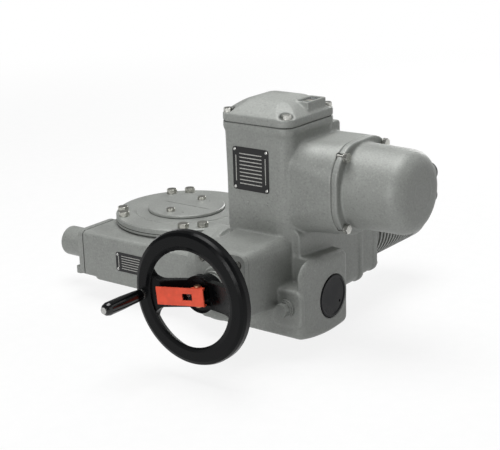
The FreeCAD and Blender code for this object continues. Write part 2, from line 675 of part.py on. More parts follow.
def make_pointer_cover():
    """Flat disc with an indicator line, on a boss that stands on the wheel's hub."""
    disc = turned(point(0, 0, pointer_bottom), Z_AXIS, [
        (0, 0), (0, POINTER_RADIUS - 1), (1, POINTER_RADIUS), (POINTER_THICKNESS - 1.2,
        POINTER_RADIUS), (POINTER_THICKNESS, POINTER_RADIUS - 1.2), (POINTER_THICKNESS, 0)])
    boss = rod(point(0, 0, hub_top), Z_AXIS, HUB_RADIUS, pointer_bottom - hub_top)
    line = block(point(-50, -0.8, pointer_top - 0.6), point(50, 0.8, pointer_top + 1))
    dots = [rod(point(44 * math.cos(math.radians(angle)), 44 * math.sin(math.radians(angle)),
                      pointer_top - 0.8), Z_AXIS, 2.0, 2) for angle in (180, 301, 65)]
    holes = screw_holes("M8", pointer_screw_seats(), Z_AXIS * -1, 20)
    return disc.fuse(boss).cut(group([line] + dots + holes))


def make_pointer_screws():
    return group(hex_screw("M8", seat, Z_AXIS * -1, 24, washer=False)
                 for seat in pointer_screw_seats())


def make_gear_worm():
    """Worm shaft with journals, the end stop's thread on the left and the spline on the right."""
    worm = worm_thread(WHEEL_MODULE, 1, WORM_PITCH_RADIUS, WORM_THREAD_LENGTH, Y_AXIS,
                       worm_line, X_AXIS)
    half = WORM_THREAD_LENGTH / 2
    stop_end = stop_nut_rest - 12
    shaft = turned(worm_line, X_AXIS, [
        (stop_end, 0), (stop_end, STOP_THREAD_RADIUS - 1), (stop_end + 1, STOP_THREAD_RADIUS),
        (worm_bearing_left - 1, STOP_THREAD_RADIUS), (worm_bearing_left - 1, WORM_JOURNAL_RADIUS),
        (worm_bearing_left + worm_bearing_width, WORM_JOURNAL_RADIUS),
        (worm_bearing_left + worm_bearing_width, WORM_JOURNAL_RADIUS + 3), (half + 5,
        WORM_JOURNAL_RADIUS + 3), (worm_bearing_right - worm_bearing_width,
        WORM_JOURNAL_RADIUS + 3), (worm_bearing_right - worm_bearing_width,
        WORM_JOURNAL_RADIUS), (flange_split + 4, WORM_JOURNAL_RADIUS),
        (flange_split + 4, SPLINE_RADIUS), (hollow_left + SPLINE_LENGTH, SPLINE_RADIUS),
        (hollow_left + SPLINE_LENGTH, 0)])
    return worm.fuse(shaft)


def make_worm_bearings():
    left = bearing(worm_line + X_AXIS * worm_bearing_left, X_AXIS, worm_bearing_radius,
                   WORM_JOURNAL_RADIUS, worm_bearing_width)
    right = bearing(worm_line + X_AXIS * (worm_bearing_right - worm_bearing_width), X_AXIS,
                    worm_bearing_radius, WORM_JOURNAL_RADIUS, worm_bearing_width)
    return group([left, right])


def make_worm_seal():
    return tube(worm_line + X_AXIS * worm_bearing_right, X_AXIS, worm_bearing_radius,
                WORM_JOURNAL_RADIUS + RUNNING, 8)


def make_stop_plate():
    """End plate of the worm bar with the spigot that holds the bearing and the end stop."""
    front, back = worm_line.y - WORM_BAR_HALF_WIDTH, worm_line.y + WORM_BAR_HALF_WIDTH
    plate = block(point(stop_plate_left, front, WORM_BAR_BOTTOM),
                  point(WORM_BAR_LEFT, back, WORM_BAR_TOP))
    long_edges = [edge for edge in plate.Edges
                  if abs(edge.tangentAt(edge.FirstParameter).dot(X_AXIS)) > 0.999]
    back_edges = [edge for edge in long_edges if edge.CenterOfMass.y > worm_line.y]
    plate = plate.makeFillet(STOP_PLATE_BACK_CORNER, back_edges)
    front_edges = [edge for edge in plate.Edges
                   if isinstance(edge.Curve, Part.Line) and edge.CenterOfMass.y < front + 0.01
                   and abs(edge.tangentAt(edge.FirstParameter).dot(X_AXIS)) > 0.999]
    plate = plate.makeFillet(8.0, front_edges)
    plate = plate.makeFillet(3.0, edges_at(plate, X_AXIS, stop_plate_left))
    lug = block(point(stop_plate_left - STOP_PLATE_LUG, front + 1, WORM_BAR_BOTTOM + 1),
                point(stop_plate_left + 4, front + 14, WORM_BAR_BOTTOM + 13))
    lug = softened(lug, Z_AXIS, 4.0)
    spigot = rod(point(WORM_BAR_LEFT, worm_line.y, WORM_HEIGHT), X_AXIS, worm_bearing_radius,
                 worm_bearing_left - WORM_BAR_LEFT)
    neck = rod(point(stop_plate_left - 10, worm_line.y, WORM_HEIGHT - CAP_DROP), X_AXIS,
               CAP_RADIUS - CAP_WALL - 0.1, 10)
    bore = rod(point(stop_plate_left - 11, worm_line.y, WORM_HEIGHT), X_AXIS,
               stop_sleeve_radius, 11 + worm_bearing_left - stop_plate_left)
    holes = screw_holes("M8", stop_plate_seats(), X_AXIS, STOP_PLATE_THICKNESS)
    return joined(plate, lug, spigot, neck).cut(group([bore] + holes))


def make_stop_plate_screws():
    return group(hex_screw("M8", seat, X_AXIS, STOP_PLATE_THICKNESS + 18, washer=False)
                 for seat in stop_plate_seats())


def stop_keys(play, start, length):
    half = STOP_KEY_WIDTH / 2 + play
    return block(point(start, worm_line.y - stop_sleeve_radius + 0.3, WORM_HEIGHT - half),
                 point(start + length, worm_line.y + stop_sleeve_radius - 0.3,
                       WORM_HEIGHT + half))


def make_stop_sleeve():
    """Slotted sleeve that keeps the stop nut from turning."""
    start = stop_nut_rest - 6
    length = worm_bearing_left - start
    sleeve = tube(point(start, worm_line.y, WORM_HEIGHT), X_AXIS, stop_sleeve_radius,
                  STOP_NUT_RADIUS + LOOSE, length)
    half = STOP_KEY_WIDTH / 2 + LOOSE
    slots = block(point(stop_nut_rest - 1, worm_line.y - 30, WORM_HEIGHT - half),
                  point(stop_nut_rest + STOP_NUT_LENGTH + STOP_TRAVEL + 1, worm_line.y + 30,
                        WORM_HEIGHT + half))
    return sleeve.cut(slots)


def make_stop_nut():
    body = rod(point(stop_nut_rest, worm_line.y, WORM_HEIGHT), X_AXIS, STOP_NUT_RADIUS,
               STOP_NUT_LENGTH)
    bore = rod(point(stop_nut_rest - 1, worm_line.y, WORM_HEIGHT), X_AXIS,
               STOP_THREAD_RADIUS + RUNNING, STOP_NUT_LENGTH + 2)
    return body.fuse(stop_keys(0, stop_nut_rest, STOP_NUT_LENGTH)).cut(bore)


def make_protective_cap():
    start = point(stop_plate_left, worm_line.y, WORM_HEIGHT - CAP_DROP)
    outer = rod(start, X_AXIS * -1, CAP_RADIUS, CAP_LENGTH)
    outer = outer.makeFillet(6.0, edges_at(outer, X_AXIS, stop_plate_left - CAP_LENGTH))
    inner = rod(start, X_AXIS * -1, CAP_RADIUS - CAP_WALL, CAP_LENGTH - CAP_WALL)
    return outer.cut(inner)


def make_gearbox_plate():
    """Thin plate on the front of the worm bar."""
    return plate_on(gearbox_plate_centre, GEARBOX_PLATE_HALF_WIDTH, GEARBOX_PLATE_HALF_HEIGHT)


def make_rating_plate():
    return plate_on(rating_plate_centre, RATING_PLATE_HALF, RATING_PLATE_HALF)


def plate_on(centre, half_width, half_height):
    """Thin plate with round corners that lies on a front face, drilled for its four pins."""
    plate = rounded_prism(centre, Y_AXIS * -1, half_width, half_height, 4.5, PLATE_THICKNESS)
    holes = [rod(seat + Y_AXIS, Y_AXIS * -1, 1.4, 3)
             for seat in plate_pins(centre, half_width, half_height)]
    return plate.cut(group(holes))


def plate_pins(centre, half_width, half_height):
    return square_points(centre, X_AXIS, Z_AXIS, half_width - PLATE_PIN_INSET,
                         half_height - PLATE_PIN_INSET)


def make_plate_pins():
    seats = (plate_pins(gearbox_plate_centre, GEARBOX_PLATE_HALF_WIDTH,
                        GEARBOX_PLATE_HALF_HEIGHT)
             + plate_pins(rating_plate_centre, RATING_PLATE_HALF, RATING_PLATE_HALF))
    shank = PLATE_THICKNESS - 0.05
    return group(turned(seat - Y_AXIS * PLATE_THICKNESS, Y_AXIS * -1, [
        (-shank, 0), (-shank, 1.3), (0, 1.3), (0, 2.6), (0.7, 2.2), (1.1, 1.2), (1.1, 0)])
        for seat in seats)


# Drive: casting and output shaft

def make_drive_housing():
    """Main casting: lower gear case, barrel, neck, front boss and connector boss."""
    lower = lower_case().fuse(barrel()).cut(front_valley())
    housing = lower.multiFuse([neck(), front_boss(), connector_boss(), output_flange(),
                               front_plug_pad(), output_plug_ring(), neck_lug()])
    return housing.cut(group(drive_housing_voids()))


def lower_case():
    """Gear case round the output shaft, with a bellied underside."""
    left = flange_split + DRIVE_FLANGE_THICKNESS
    front_top, back_top = 117.0, 108.0
    a = point(left, DRIVE_FRONT, DRIVE_BOTTOM + 5)
    b = point(left, -GEAR_DISTANCE, DRIVE_BOTTOM - 7)
    c = point(left, DRIVE_BACK, DRIVE_BOTTOM - 3)
    d = point(left, DRIVE_BACK, back_top)
    e = point(left, DRIVE_FRONT, front_top)
    outline = Part.Wire([Part.Arc(a, b, c).toShape(), Part.makeLine(c, d), Part.makeLine(d, e),
                         Part.makeLine(e, a)])
    case = Part.Face(outline).extrude(X_AXIS * (DRIVE_RIGHT - left))
    shoulder = [edge for edge in case.Edges
                if edge.CenterOfMass.z > back_top and edge.CenterOfMass.y < DRIVE_FRONT + 1
                and abs(edge.tangentAt(edge.FirstParameter).dot(X_AXIS)) > 0.999]
    case = case.makeFillet(DRIVE_SHOULDER, shoulder)
    others = [edge for edge in case.Edges
              if isinstance(edge.Curve, Part.Line)
              and abs(edge.tangentAt(edge.FirstParameter).dot(X_AXIS)) > 0.999
              and (edge.CenterOfMass.z < 50 or edge.CenterOfMass.y > DRIVE_BACK - 1)]
    case = case.makeFillet(DRIVE_EDGE + 1, others)
    return case.makeFillet(DRIVE_EDGE, edges_at(case, X_AXIS, DRIVE_RIGHT))


def front_valley():
    """Recess over a ledge, between the front boss and the case's right corner."""
    valley = block(point(DRIVE_X, DRIVE_FRONT - 10, VALLEY_LEDGE),
                   point(VALLEY_RIGHT, VALLEY_BACK, DRIVE_HEIGHT + BARREL_HALF_WIDTH + 10))
    return softened(valley, Z_AXIS, 7.0)


def barrel():
    """Square barrel along the handwheel and motor axis, with its rear flange."""
    body = rounded_prism(point(DRIVE_X, BARREL_FRONT, DRIVE_HEIGHT), Y_AXIS,
                         BARREL_HALF_WIDTH, BARREL_HALF_WIDTH, 16.0, BARREL_BACK - BARREL_FRONT)
    flange = rounded_prism(point(DRIVE_X, BARREL_BACK - 11, DRIVE_HEIGHT), Y_AXIS,
                           BARREL_HALF_WIDTH + 2, BARREL_HALF_WIDTH + 2, 17.0, 11.0)
    return body.fuse(flange)


def neck():
    """Square neck that widens a little to the split of the control cover."""
    low = DRIVE_HEIGHT - 20
    waist = NECK_RIM_HEIGHT - 16
    body = tapered_prism(point(NECK_X, NECK_Y, low), Z_AXIS,
                         (NECK_HALF_WIDTH - 5, NECK_HALF_WIDTH - 5, NECK_CORNER),
                         (NECK_HALF_WIDTH - 2, NECK_HALF_WIDTH - 2, NECK_CORNER),
                         waist - low, Y_AXIS)
    swell = tapered_prism(point(NECK_X, NECK_Y, waist), Z_AXIS,
                          (NECK_HALF_WIDTH - 2, NECK_HALF_WIDTH - 2, NECK_CORNER),
                          (NECK_HALF_WIDTH, NECK_HALF_WIDTH, NECK_CORNER), 6.0, Y_AXIS)
    rim = rounded_prism(point(NECK_X, NECK_Y, waist + 6), Z_AXIS, NECK_HALF_WIDTH,
                        NECK_HALF_WIDTH, NECK_CORNER, NECK_RIM_HEIGHT - waist - 6, Y_AXIS)
    pad = rounded_prism(rating_plate_centre + Vector(0, 8, -27), Y_AXIS * -1,
                        RATING_PLATE_HALF + 13, RATING_PLATE_HALF + 39, 8.0, 8.0)
    return body.multiFuse([swell, rim, pad])


def front_boss():
    """Boss that carries the handwheel's shaft, wider at its root."""
    length = DRIVE_FRONT + 30 - BOSS_FRONT
    return tapered_prism(point(DRIVE_X, BOSS_FRONT, DRIVE_HEIGHT), Y_AXIS,
                         (BOSS_HALF_WIDTH, BOSS_HALF_HEIGHT, 13.0),
                         (BOSS_HALF_WIDTH + 7, BOSS_HALF_HEIGHT + 4, 16.0), length)


def connector_boss():
    """Boss on the neck's side that runs from a square root to the connector's round end."""
    root_x = NECK_X + NECK_HALF_WIDTH - 30
    root = rounded_outline(CONNECTOR_HALF_WIDTH - 2, CONNECTOR_HALF_HEIGHT - 3, 24.0)
    end = rounded_outline(CONNECTOR_HALF_WIDTH, CONNECTOR_HALF_HEIGHT, CONNECTOR_CORNER,
                          CONNECTOR_SPLIT - root_x)
    root.translate(Vector(-10, -2, 0))
    loft = Part.makeLoft([root, end], True, True)
    return placed(loft, point(root_x, CONNECTOR_Y, connector_z), X_AXIS)


def output_flange():
    """Round flange that meets the gearbox, with a cone back to the case."""
    start = point(flange_split, worm_line.y, WORM_HEIGHT)
    flange = rod(start, X_AXIS, DRIVE_FLANGE_RADIUS, DRIVE_FLANGE_THICKNESS)
    cone = Part.makeCone(DRIVE_FLANGE_RADIUS - 4, 56, 30,
                         start + X_AXIS * DRIVE_FLANGE_THICKNESS, X_AXIS)
    return flange.fuse(cone)


def front_plug_pad():
    """Raised pad under the valley's ledge, with the seat of the screw plug."""
    half_width = VALLEY_RIGHT - FRONT_PLUG_X + 11
    half_height = VALLEY_LEDGE - FRONT_PLUG_Z
    pad = rounded_prism(point(FRONT_PLUG_X, DRIVE_FRONT + 5, FRONT_PLUG_Z - 2), Y_AXIS * -1,
                        half_width, half_height, 10.0, 5 + FRONT_PAD)
    seat = rod(point(FRONT_PLUG_X, front_plug_face + 5, FRONT_PLUG_Z), Y_AXIS * -1,
               FRONT_PLUG_RADIUS + 3, 5)
    return pad.fuse(seat)


def output_plug_ring():
    return tube(point(DRIVE_RIGHT - 6, worm_line.y, WORM_HEIGHT), X_AXIS, PLUG_RADIUS + 3.5,
                PLUG_RADIUS, 7.2)


def neck_lug():
    """Cast lug at the neck's back, under the control cover."""
    back = NECK_Y + NECK_HALF_WIDTH
    lug = block(point(NECK_X + 29.5, back - 8, NECK_RIM_HEIGHT - 41),
                point(NECK_X + 57.5, back + 17, NECK_RIM_HEIGHT - 13))
    return softened(lug, X_AXIS, 5.0)


def drive_housing_voids():
    gear_room = DRIVE_MODULE * (DRIVE_TEETH / 2 + 1) + 8
    left_bore = point(flange_split - 1, worm_line.y, WORM_HEIGHT)
    voids = [
        rod(left_bore, X_AXIS, hollow_bearing_radius,
            hollow_bearing_left + hollow_bearing_width + 1 - flange_split),
        rod(point(hollow_bearing_left + hollow_bearing_width, worm_line.y, WORM_HEIGHT), X_AXIS,
            gear_room, hollow_bearing_right - hollow_bearing_left - hollow_bearing_width),
        rod(point(hollow_bearing_right, worm_line.y, WORM_HEIGHT), X_AXIS,
            hollow_bearing_radius, plug_seat - hollow_bearing_right),
        rod(point(plug_seat, worm_line.y, WORM_HEIGHT), X_AXIS, PLUG_RADIUS, PLUG_DEPTH + 5),
        rod(point(DRIVE_X, drive_bearing_front, DRIVE_HEIGHT), Y_AXIS, drive_bearing_radius,
            BARREL_BACK + 1 - drive_bearing_front),
        rod(point(DRIVE_X, BOSS_FRONT - 1, DRIVE_HEIGHT), Y_AXIS, 22,
            drive_bearing_front + 2 - BOSS_FRONT),
        rounded_prism(point(NECK_X, NECK_Y, NECK_FLOOR), Z_AXIS, NECK_HALF_WIDTH - NECK_WALL - 5,
                      NECK_HALF_WIDTH - NECK_WALL - 5, 12.0, NECK_RIM_HEIGHT - NECK_FLOOR + 1,
                      Y_AXIS),
        rod(connector_axis - X_AXIS * 70, X_AXIS, CONNECTOR_BORE_RADIUS, 71),
        rod(point(FRONT_PLUG_X, front_plug_face - 1, FRONT_PLUG_Z), Y_AXIS, 8 + LOOSE, 22),
    ]
    deep = 20
    voids += screw_holes("M8", control_screw_seats(), Z_AXIS * -1, CONTROL_RIM + deep)
    voids += screw_holes("M8", connector_screw_seats(), X_AXIS * -1, CONNECTOR_FLANGE + deep)
    voids += screw_holes("M6", boss_screw_seats(), Y_AXIS, boss_plate + deep)
    voids += screw_holes("M10", input_flange_seats(), X_AXIS, 12 + DRIVE_FLANGE_THICKNESS + 6)
    voids += screw_holes("M8", motor_screw_seats(), Y_AXIS * -1, MOTOR_FLANGE_LENGTH + deep)
    return voids


def make_input_flange_screws():
    return group(hex_screw("M10", seat, X_AXIS, 12 + DRIVE_FLANGE_THICKNESS + 2)
                 for seat in input_flange_seats())


def make_hollow_shaft():
    """Output shaft with a splined socket for the gearbox worm."""
    right = hollow_bearing_right + hollow_bearing_width
    shaft = rod(point(hollow_left, worm_line.y, WORM_HEIGHT), X_AXIS, HOLLOW_SHAFT_RADIUS,
                right - hollow_left)
    collar = rod(wheel_cross - X_AXIS * (DRIVE_FACE / 2 + 8), X_AXIS, HOLLOW_SHAFT_RADIUS + 4, 8)
    socket = rod(point(hollow_left - 1, worm_line.y, WORM_HEIGHT), X_AXIS,
                 SPLINE_RADIUS + RUNNING, SPLINE_LENGTH + 3)
    bore = rod(point(hollow_left + SPLINE_LENGTH + 2, worm_line.y, WORM_HEIGHT), X_AXIS,
               HOLLOW_BORE_RADIUS, right)
    return shaft.fuse(collar).cut(group([socket, bore]))


def make_drive_wheel():
    lead_slope = DRIVE_MODULE * DRIVE_STARTS / (2 * DRIVE_WORM_PITCH_RADIUS)
    rim = worm_gear_rim(DRIVE_MODULE, DRIVE_TEETH, DRIVE_FACE, lead_slope, Z_AXIS, wheel_cross,
                        X_AXIS)
    bore = rod(wheel_cross - X_AXIS * DRIVE_FACE, X_AXIS, HOLLOW_SHAFT_RADIUS + RUNNING,
               2 * DRIVE_FACE)
    return rim.cut(bore)


def make_hollow_bearings():
    return group(bearing(point(start, worm_line.y, WORM_HEIGHT), X_AXIS, hollow_bearing_radius,
                         HOLLOW_SHAFT_RADIUS, hollow_bearing_width)
                 for start in (hollow_bearing_left, hollow_bearing_right))


def make_output_plug():
    """Plug in the casting's right side, with a low rim round its face and a small vent."""
    plug = turned(point(plug_seat, worm_line.y, WORM_HEIGHT), X_AXIS, [
        (0, 0), (0, PLUG_RADIUS - 0.5), (PLUG_DEPTH, PLUG_RADIUS - 0.5),
        (PLUG_DEPTH + 1.6, PLUG_RADIUS - 1.5), (PLUG_DEPTH + 1.6, PLUG_RADIUS - 4),
        (PLUG_DEPTH + 0.6, PLUG_RADIUS - 5), (PLUG_DEPTH + 0.6, 0)])
    vent = rod(point(plug_seat + PLUG_DEPTH - 4, worm_line.y + 18, WORM_HEIGHT - 13), X_AXIS,
               2.2, 6)
    return plug.cut(vent)


def make_front_plug():
    """Hexagon screw plug with a collar on the front of the gear case."""
    stem = turned(point(FRONT_PLUG_X, front_plug_face, FRONT_PLUG_Z), Y_AXIS * -1, [
        (-14, 0), (-14, 8), (0, 8), (0, FRONT_PLUG_RADIUS), (4, FRONT_PLUG_RADIUS),
        (4, FRONT_PLUG_RADIUS - 2), (7, FRONT_PLUG_RADIUS - 2), (7, 0)])
    head = placed(hexagon(19.0, 9.0), point(FRONT_PLUG_X, front_plug_face - 7, FRONT_PLUG_Z),
                  Y_AXIS * -1)
    return stem.fuse(head)


# Drive: worm shaft, clutch side and motor

def make_drive_worm():
    """Two-start worm between its bearings, coupled to the motor at the rear."""
    worm = worm_thread(DRIVE_MODULE, DRIVE_STARTS, DRIVE_WORM_PITCH_RADIUS,
                       DRIVE_WORM_THREAD_LENGTH, Z_AXIS * -1, drive_cross, Y_AXIS)
    half = DRIVE_WORM_THREAD_LENGTH / 2
    front = drive_bearing_front - drive_cross.y
    back = drive_bearing_back + drive_bearing_width - drive_cross.y
    front_journal = rod(drive_cross + Y_AXIS * (front - 10), Y_AXIS, DRIVE_SHAFT_RADIUS,
                        10 - front - half)
    back_journal = turned(drive_cross, Y_AXIS, [
        (half, 0), (half, DRIVE_SHAFT_RADIUS), (back + 8, DRIVE_SHAFT_RADIUS),
        (back + 8, DRIVE_SHAFT_RADIUS - 2), (back + 22, DRIVE_SHAFT_RADIUS - 2), (back + 22, 0)])
    jaw = block(drive_cross + Vector(-3, front - 14, -9), drive_cross + Vector(3, front - 9, 9))
    return worm.fuse(front_journal).fuse(back_journal).fuse(jaw)


def make_drive_bearings():
    starts = (drive_bearing_front, drive_bearing_back)
    return group(bearing(point(DRIVE_X, start, DRIVE_HEIGHT), Y_AXIS, drive_bearing_radius,
                         DRIVE_SHAFT_RADIUS, drive_bearing_width) for start in starts)


def make_disc_springs():
    """Pairs of cupped washers that let the worm give way under torque."""
    start = drive_bearing_front + drive_bearing_width
    washers = []
    for number in range(6):
        near, far = start + 3.2 * number, start + 3.2 * (number + 1)
        lean = 1.2 if number % 2 else 0.0
        washers.append(turned(point(DRIVE_X, near, DRIVE_HEIGHT), Y_AXIS, [
            (1.2 - lean, DRIVE_SHAFT_RADIUS + 0.4), (lean, 22), (lean + 2.0, 22),
            (3.2 - lean, DRIVE_SHAFT_RADIUS + 0.4)]))
    return group(washers)


def make_motor_coupling():
    start = drive_bearing_back + drive_bearing_width + 8
    sleeve = tube(point(DRIVE_X, start, DRIVE_HEIGHT), Y_AXIS, 20, DRIVE_SHAFT_RADIUS - 2 +
                  RUNNING, 30)
    return sleeve


def make_motor_adapter():
    """Square housing between the casting and the motor, with corner lugs at the rear."""
    start = point(DRIVE_X, BARREL_BACK, DRIVE_HEIGHT)
    body = rounded_prism(start, Y_AXIS, MOTOR_FLANGE_HALF_WIDTH - 1, MOTOR_FLANGE_HALF_WIDTH - 1,
                         15.0, MOTOR_FLANGE_LENGTH - 12)
    flange = rounded_prism(start + Y_AXIS * (MOTOR_FLANGE_LENGTH - 12), Y_AXIS,
                           MOTOR_FLANGE_HALF_WIDTH, MOTOR_FLANGE_HALF_WIDTH, 14.0, 12.0)
    bore = rod(start - Y_AXIS, Y_AXIS, 46, MOTOR_FLANGE_LENGTH + 2)
    holes = screw_holes("M8", motor_screw_seats(), Y_AXIS * -1, MOTOR_FLANGE_LENGTH)
    return body.fuse(flange).cut(group([bore] + holes))


def make_motor_screws():
    return group(hex_screw("M8", seat, Y_AXIS * -1, MOTOR_FLANGE_LENGTH + 16)
                 for seat in motor_screw_seats())


def make_motor_housing():
    """Motor body with ring fins, its mounting spigot and a domed rear cover seat."""
    front = 6.0
    outline = [(-8, 45.5), (0, 45.5), (0, MOTOR_RADIUS - 1), (front, MOTOR_RADIUS)]
    along = front
    while along + MOTOR_FIN_PITCH < MOTOR_LENGTH - 8:
        groove = along + MOTOR_FIN_PITCH - MOTOR_FIN_THICKNESS
        outline += [(along + 0.6, MOTOR_CORE_RADIUS), (groove - 0.6, MOTOR_CORE_RADIUS),
                    (groove, MOTOR_RADIUS), (along + MOTOR_FIN_PITCH, MOTOR_RADIUS)]
        along += MOTOR_FIN_PITCH
    outline += [(MOTOR_LENGTH - 2, MOTOR_RADIUS), (MOTOR_LENGTH, MOTOR_RADIUS - 2),
                (MOTOR_LENGTH, MOTOR_BORE_RADIUS), (8, MOTOR_BORE_RADIUS), (8, 22), (-8, 22)]
    body = turned(point(DRIVE_X, motor_front, DRIVE_HEIGHT), Y_AXIS, outline)
    room = screw_passage("M8", motor_screw_seats(), Y_AXIS * -1, 20)
    holes = screw_holes("M4", motor_end_seats(), Y_AXIS * -1, 16)
    return body.cut(group(room + holes))


def make_motor_end():
    """Dished cover at the rear of the motor."""
    cover = turned(point(DRIVE_X, motor_end, DRIVE_HEIGHT), Y_AXIS, [
        (-4, 0), (-4, MOTOR_BORE_RADIUS - 0.1), (0, MOTOR_BORE_RADIUS - 0.1), (0, MOTOR_RADIUS),
        (3, MOTOR_RADIUS), (6, MOTOR_RADIUS - 4), (8, MOTOR_RADIUS - 14), (8, 14), (4, 12),
        (4, 0)])
    holes = screw_holes("M4", motor_end_seats(), Y_AXIS * -1, 10)
    sinks = [rod(seat, Y_AXIS, 4.2, 10) for seat in motor_end_seats()]
    return cover.cut(group(holes + sinks))


def make_motor_end_screws():
    return group(socket_screw("M4", seat, Y_AXIS * -1, 12) for seat in motor_end_seats())


def make_stator():
    start = point(DRIVE_X, motor_front + 24, DRIVE_HEIGHT)
    return tube(start, Y_AXIS, MOTOR_BORE_RADIUS - 0.1, 33, MOTOR_LENGTH - 60)


def make_rotor():
    """Rotor on its shaft, which reaches forward into the coupling."""
    start = drive_bearing_back + drive_bearing_width + 8 + 14
    near, far = motor_front + 22 - start, motor_end - 38 - start
    return turned(point(DRIVE_X, start, DRIVE_HEIGHT), Y_AXIS, [
        (0, 0), (0, DRIVE_SHAFT_RADIUS - 2), (near, DRIVE_SHAFT_RADIUS - 2), (near, 32),
        (far, 32), (far, DRIVE_SHAFT_RADIUS - 2), (motor_end - 6 - start,
        DRIVE_SHAFT_RADIUS - 2), (motor_end - 6 - start, 0)])


def make_motor_bearings():
    front = bearing(point(DRIVE_X, motor_front - 8, DRIVE_HEIGHT), Y_AXIS, 22,
                    DRIVE_SHAFT_RADIUS - 2, 14)
    rear_start = motor_end - 20
    rear = bearing(point(DRIVE_X, rear_start, DRIVE_HEIGHT), Y_AXIS, 22, DRIVE_SHAFT_RADIUS - 2,
                   12)
    bracket = tube(point(DRIVE_X, rear_start, DRIVE_HEIGHT), Y_AXIS, MOTOR_BORE_RADIUS - 0.1,
                   22 + RUNNING, 12)
    return group([front, rear, bracket])


# Handwheel side

def make_boss_plate():
    """Cover of the front boss, with the ribbed collar that carries the handwheel's shaft."""
    plate = rounded_prism(point(DRIVE_X, boss_face, DRIVE_HEIGHT), Y_AXIS, BOSS_HALF_WIDTH,
                          BOSS_HALF_HEIGHT, 13.0, boss_plate)
    collar_end = WHEEL_FRONT + hub_back + 2 - boss_face
    collar = turned(point(DRIVE_X, boss_face, DRIVE_HEIGHT), Y_AXIS, [
        (collar_end, 0), (collar_end, 22), (collar_end + 4, 22), (collar_end + 4, 25),
        (collar_end + 8, 25), (collar_end + 8, 22), (collar_end + 12, 22), (collar_end + 12, 28),
        (-3, 31), (1, 31), (1, 0)])
    bore = rod(point(DRIVE_X, WHEEL_FRONT, DRIVE_HEIGHT), Y_AXIS, DRIVE_SHAFT_RADIUS + RUNNING,
               120)
    holes = screw_holes("M6", boss_screw_seats(), Y_AXIS, boss_plate)
    sinks = [rod(seat - Y_AXIS, Y_AXIS, 6.0, 5) for seat in boss_screw_seats()]
    return plate.fuse(collar).cut(group([bore] + holes + sinks))


def make_boss_screws():
    return group(socket_screw("M6", seat + Y_AXIS * 4, Y_AXIS, 18) for seat in boss_screw_seats())


def wheel_turned(shape):
    """Turns a handwheel piece from its upright drawing to its place at rest."""
    copy = shape.copy()
    copy.rotate(wheel_centre, Y_AXIS, -WHEEL_TILT)
    return copy


def from_wheel(x, y, z):
    return wheel_centre + Vector(x, y, z)


def make_handwheel():
    """Dished wheel: rim, one broad spoke bar with two D-shaped openings, and the hub."""
    rim = turned(wheel_centre, Y_AXIS, [
        (0, RIM_INNER_RADIUS + 7), (0, RIM_RADIUS - 7), (2, RIM_RADIUS - 2), (7, RIM_RADIUS),
        (RIM_DEPTH - 6, RIM_RADIUS), (RIM_DEPTH, RIM_RADIUS - 6), (RIM_DEPTH,
        RIM_BACK_RADIUS + 3), (RIM_DEPTH - 3, RIM_BACK_RADIUS), (5, RIM_INNER_RADIUS + 1.5),
        (2, RIM_INNER_RADIUS), (1, RIM_INNER_RADIUS + 3)])
    web = turned(wheel_centre, Y_AXIS, [
        (5, RIM_INNER_RADIUS + 4), (hub_front, WHEEL_HUB_RADIUS), (hub_front, 0),
        (hub_front + SPOKE_THICKNESS, 0), (hub_front + SPOKE_THICKNESS, WHEEL_HUB_RADIUS + 4),
        (RIM_DEPTH - 6, RIM_BACK_RADIUS), (8, RIM_BACK_RADIUS)])
    web = web.cut(group([spoke_opening(1), spoke_opening(-1)]))
    hub = rod(from_wheel(0, hub_front, 0), Y_AXIS, WHEEL_HUB_RADIUS, WHEEL_HUB_LENGTH)
    pocket_floor = hub_front + LEVER_POCKET_DEPTH
    pocket = block(from_wheel(LEVER_PIVOT_X - 9, hub_front - 10, -LEVER_HALF_WIDTH - 1.5),
                   from_wheel(LEVER_PIVOT_X + LEVER_LENGTH_RIGHT + 2, pocket_floor,
                              LEVER_HALF_WIDTH + 1.5))
    lug = rod(from_wheel(LEVER_PIVOT_X, LEVER_PIVOT_DEPTH, -9), Z_AXIS, LEVER_LUG_RADIUS, 18)
    foot = block(from_wheel(LEVER_PIVOT_X - LEVER_LUG_RADIUS, LEVER_PIVOT_DEPTH, -9),
                 from_wheel(LEVER_PIVOT_X + LEVER_LUG_RADIUS - 1, pocket_floor, 9))
    bore = rod(from_wheel(0, shaft_front, 0), Y_AXIS, DRIVE_SHAFT_RADIUS + RUNNING, 60)
    pin_hole = rod(from_wheel(LEVER_PIVOT_X, LEVER_PIVOT_DEPTH, -20), Z_AXIS,
                   LEVER_PIN_RADIUS + RUNNING, 40)
    grip_hole = rod(from_wheel(-GRIP_OFFSET, -1, 0), Y_AXIS, GRIP_PIN_RADIUS + RUNNING, 40)
    screw_hole = rod(from_wheel(-HUB_SCREW_OFFSET, hub_front - 1, 0), Y_AXIS, 2.5 + LOOSE, 16)
    wheel = joined(rim, web, hub).cut(pocket).fuse(lug).fuse(foot)
    return wheel_turned(wheel.cut(group([bore, pin_hole, grip_hole, screw_hole])))


def spoke_opening(side):
    """D-shaped gap above or below the spoke bar, drawn through the wheel."""
    radius = RIM_BACK_RADIUS + 1
    half = math.sqrt(radius ** 2 - SPOKE_HALF_WIDTH ** 2)
    left, right = Vector(-half, -5, side * SPOKE_HALF_WIDTH), Vector(half, -5,
                                                                     side * SPOKE_HALF_WIDTH)
    top = Vector(0, -5, side * radius)
    outline = Part.Wire([Part.Arc(left, top, right).toShape(), Part.makeLine(right, left)])
    solid = Part.Face(outline).extrude(Y_AXIS * 60)
    solid = softened(solid, Y_AXIS, 17.0)
    solid.translate(wheel_centre)
    return solid.cut(rod(from_wheel(0, -10, 0), Y_AXIS, WHEEL_HUB_RADIUS + 4, 80))


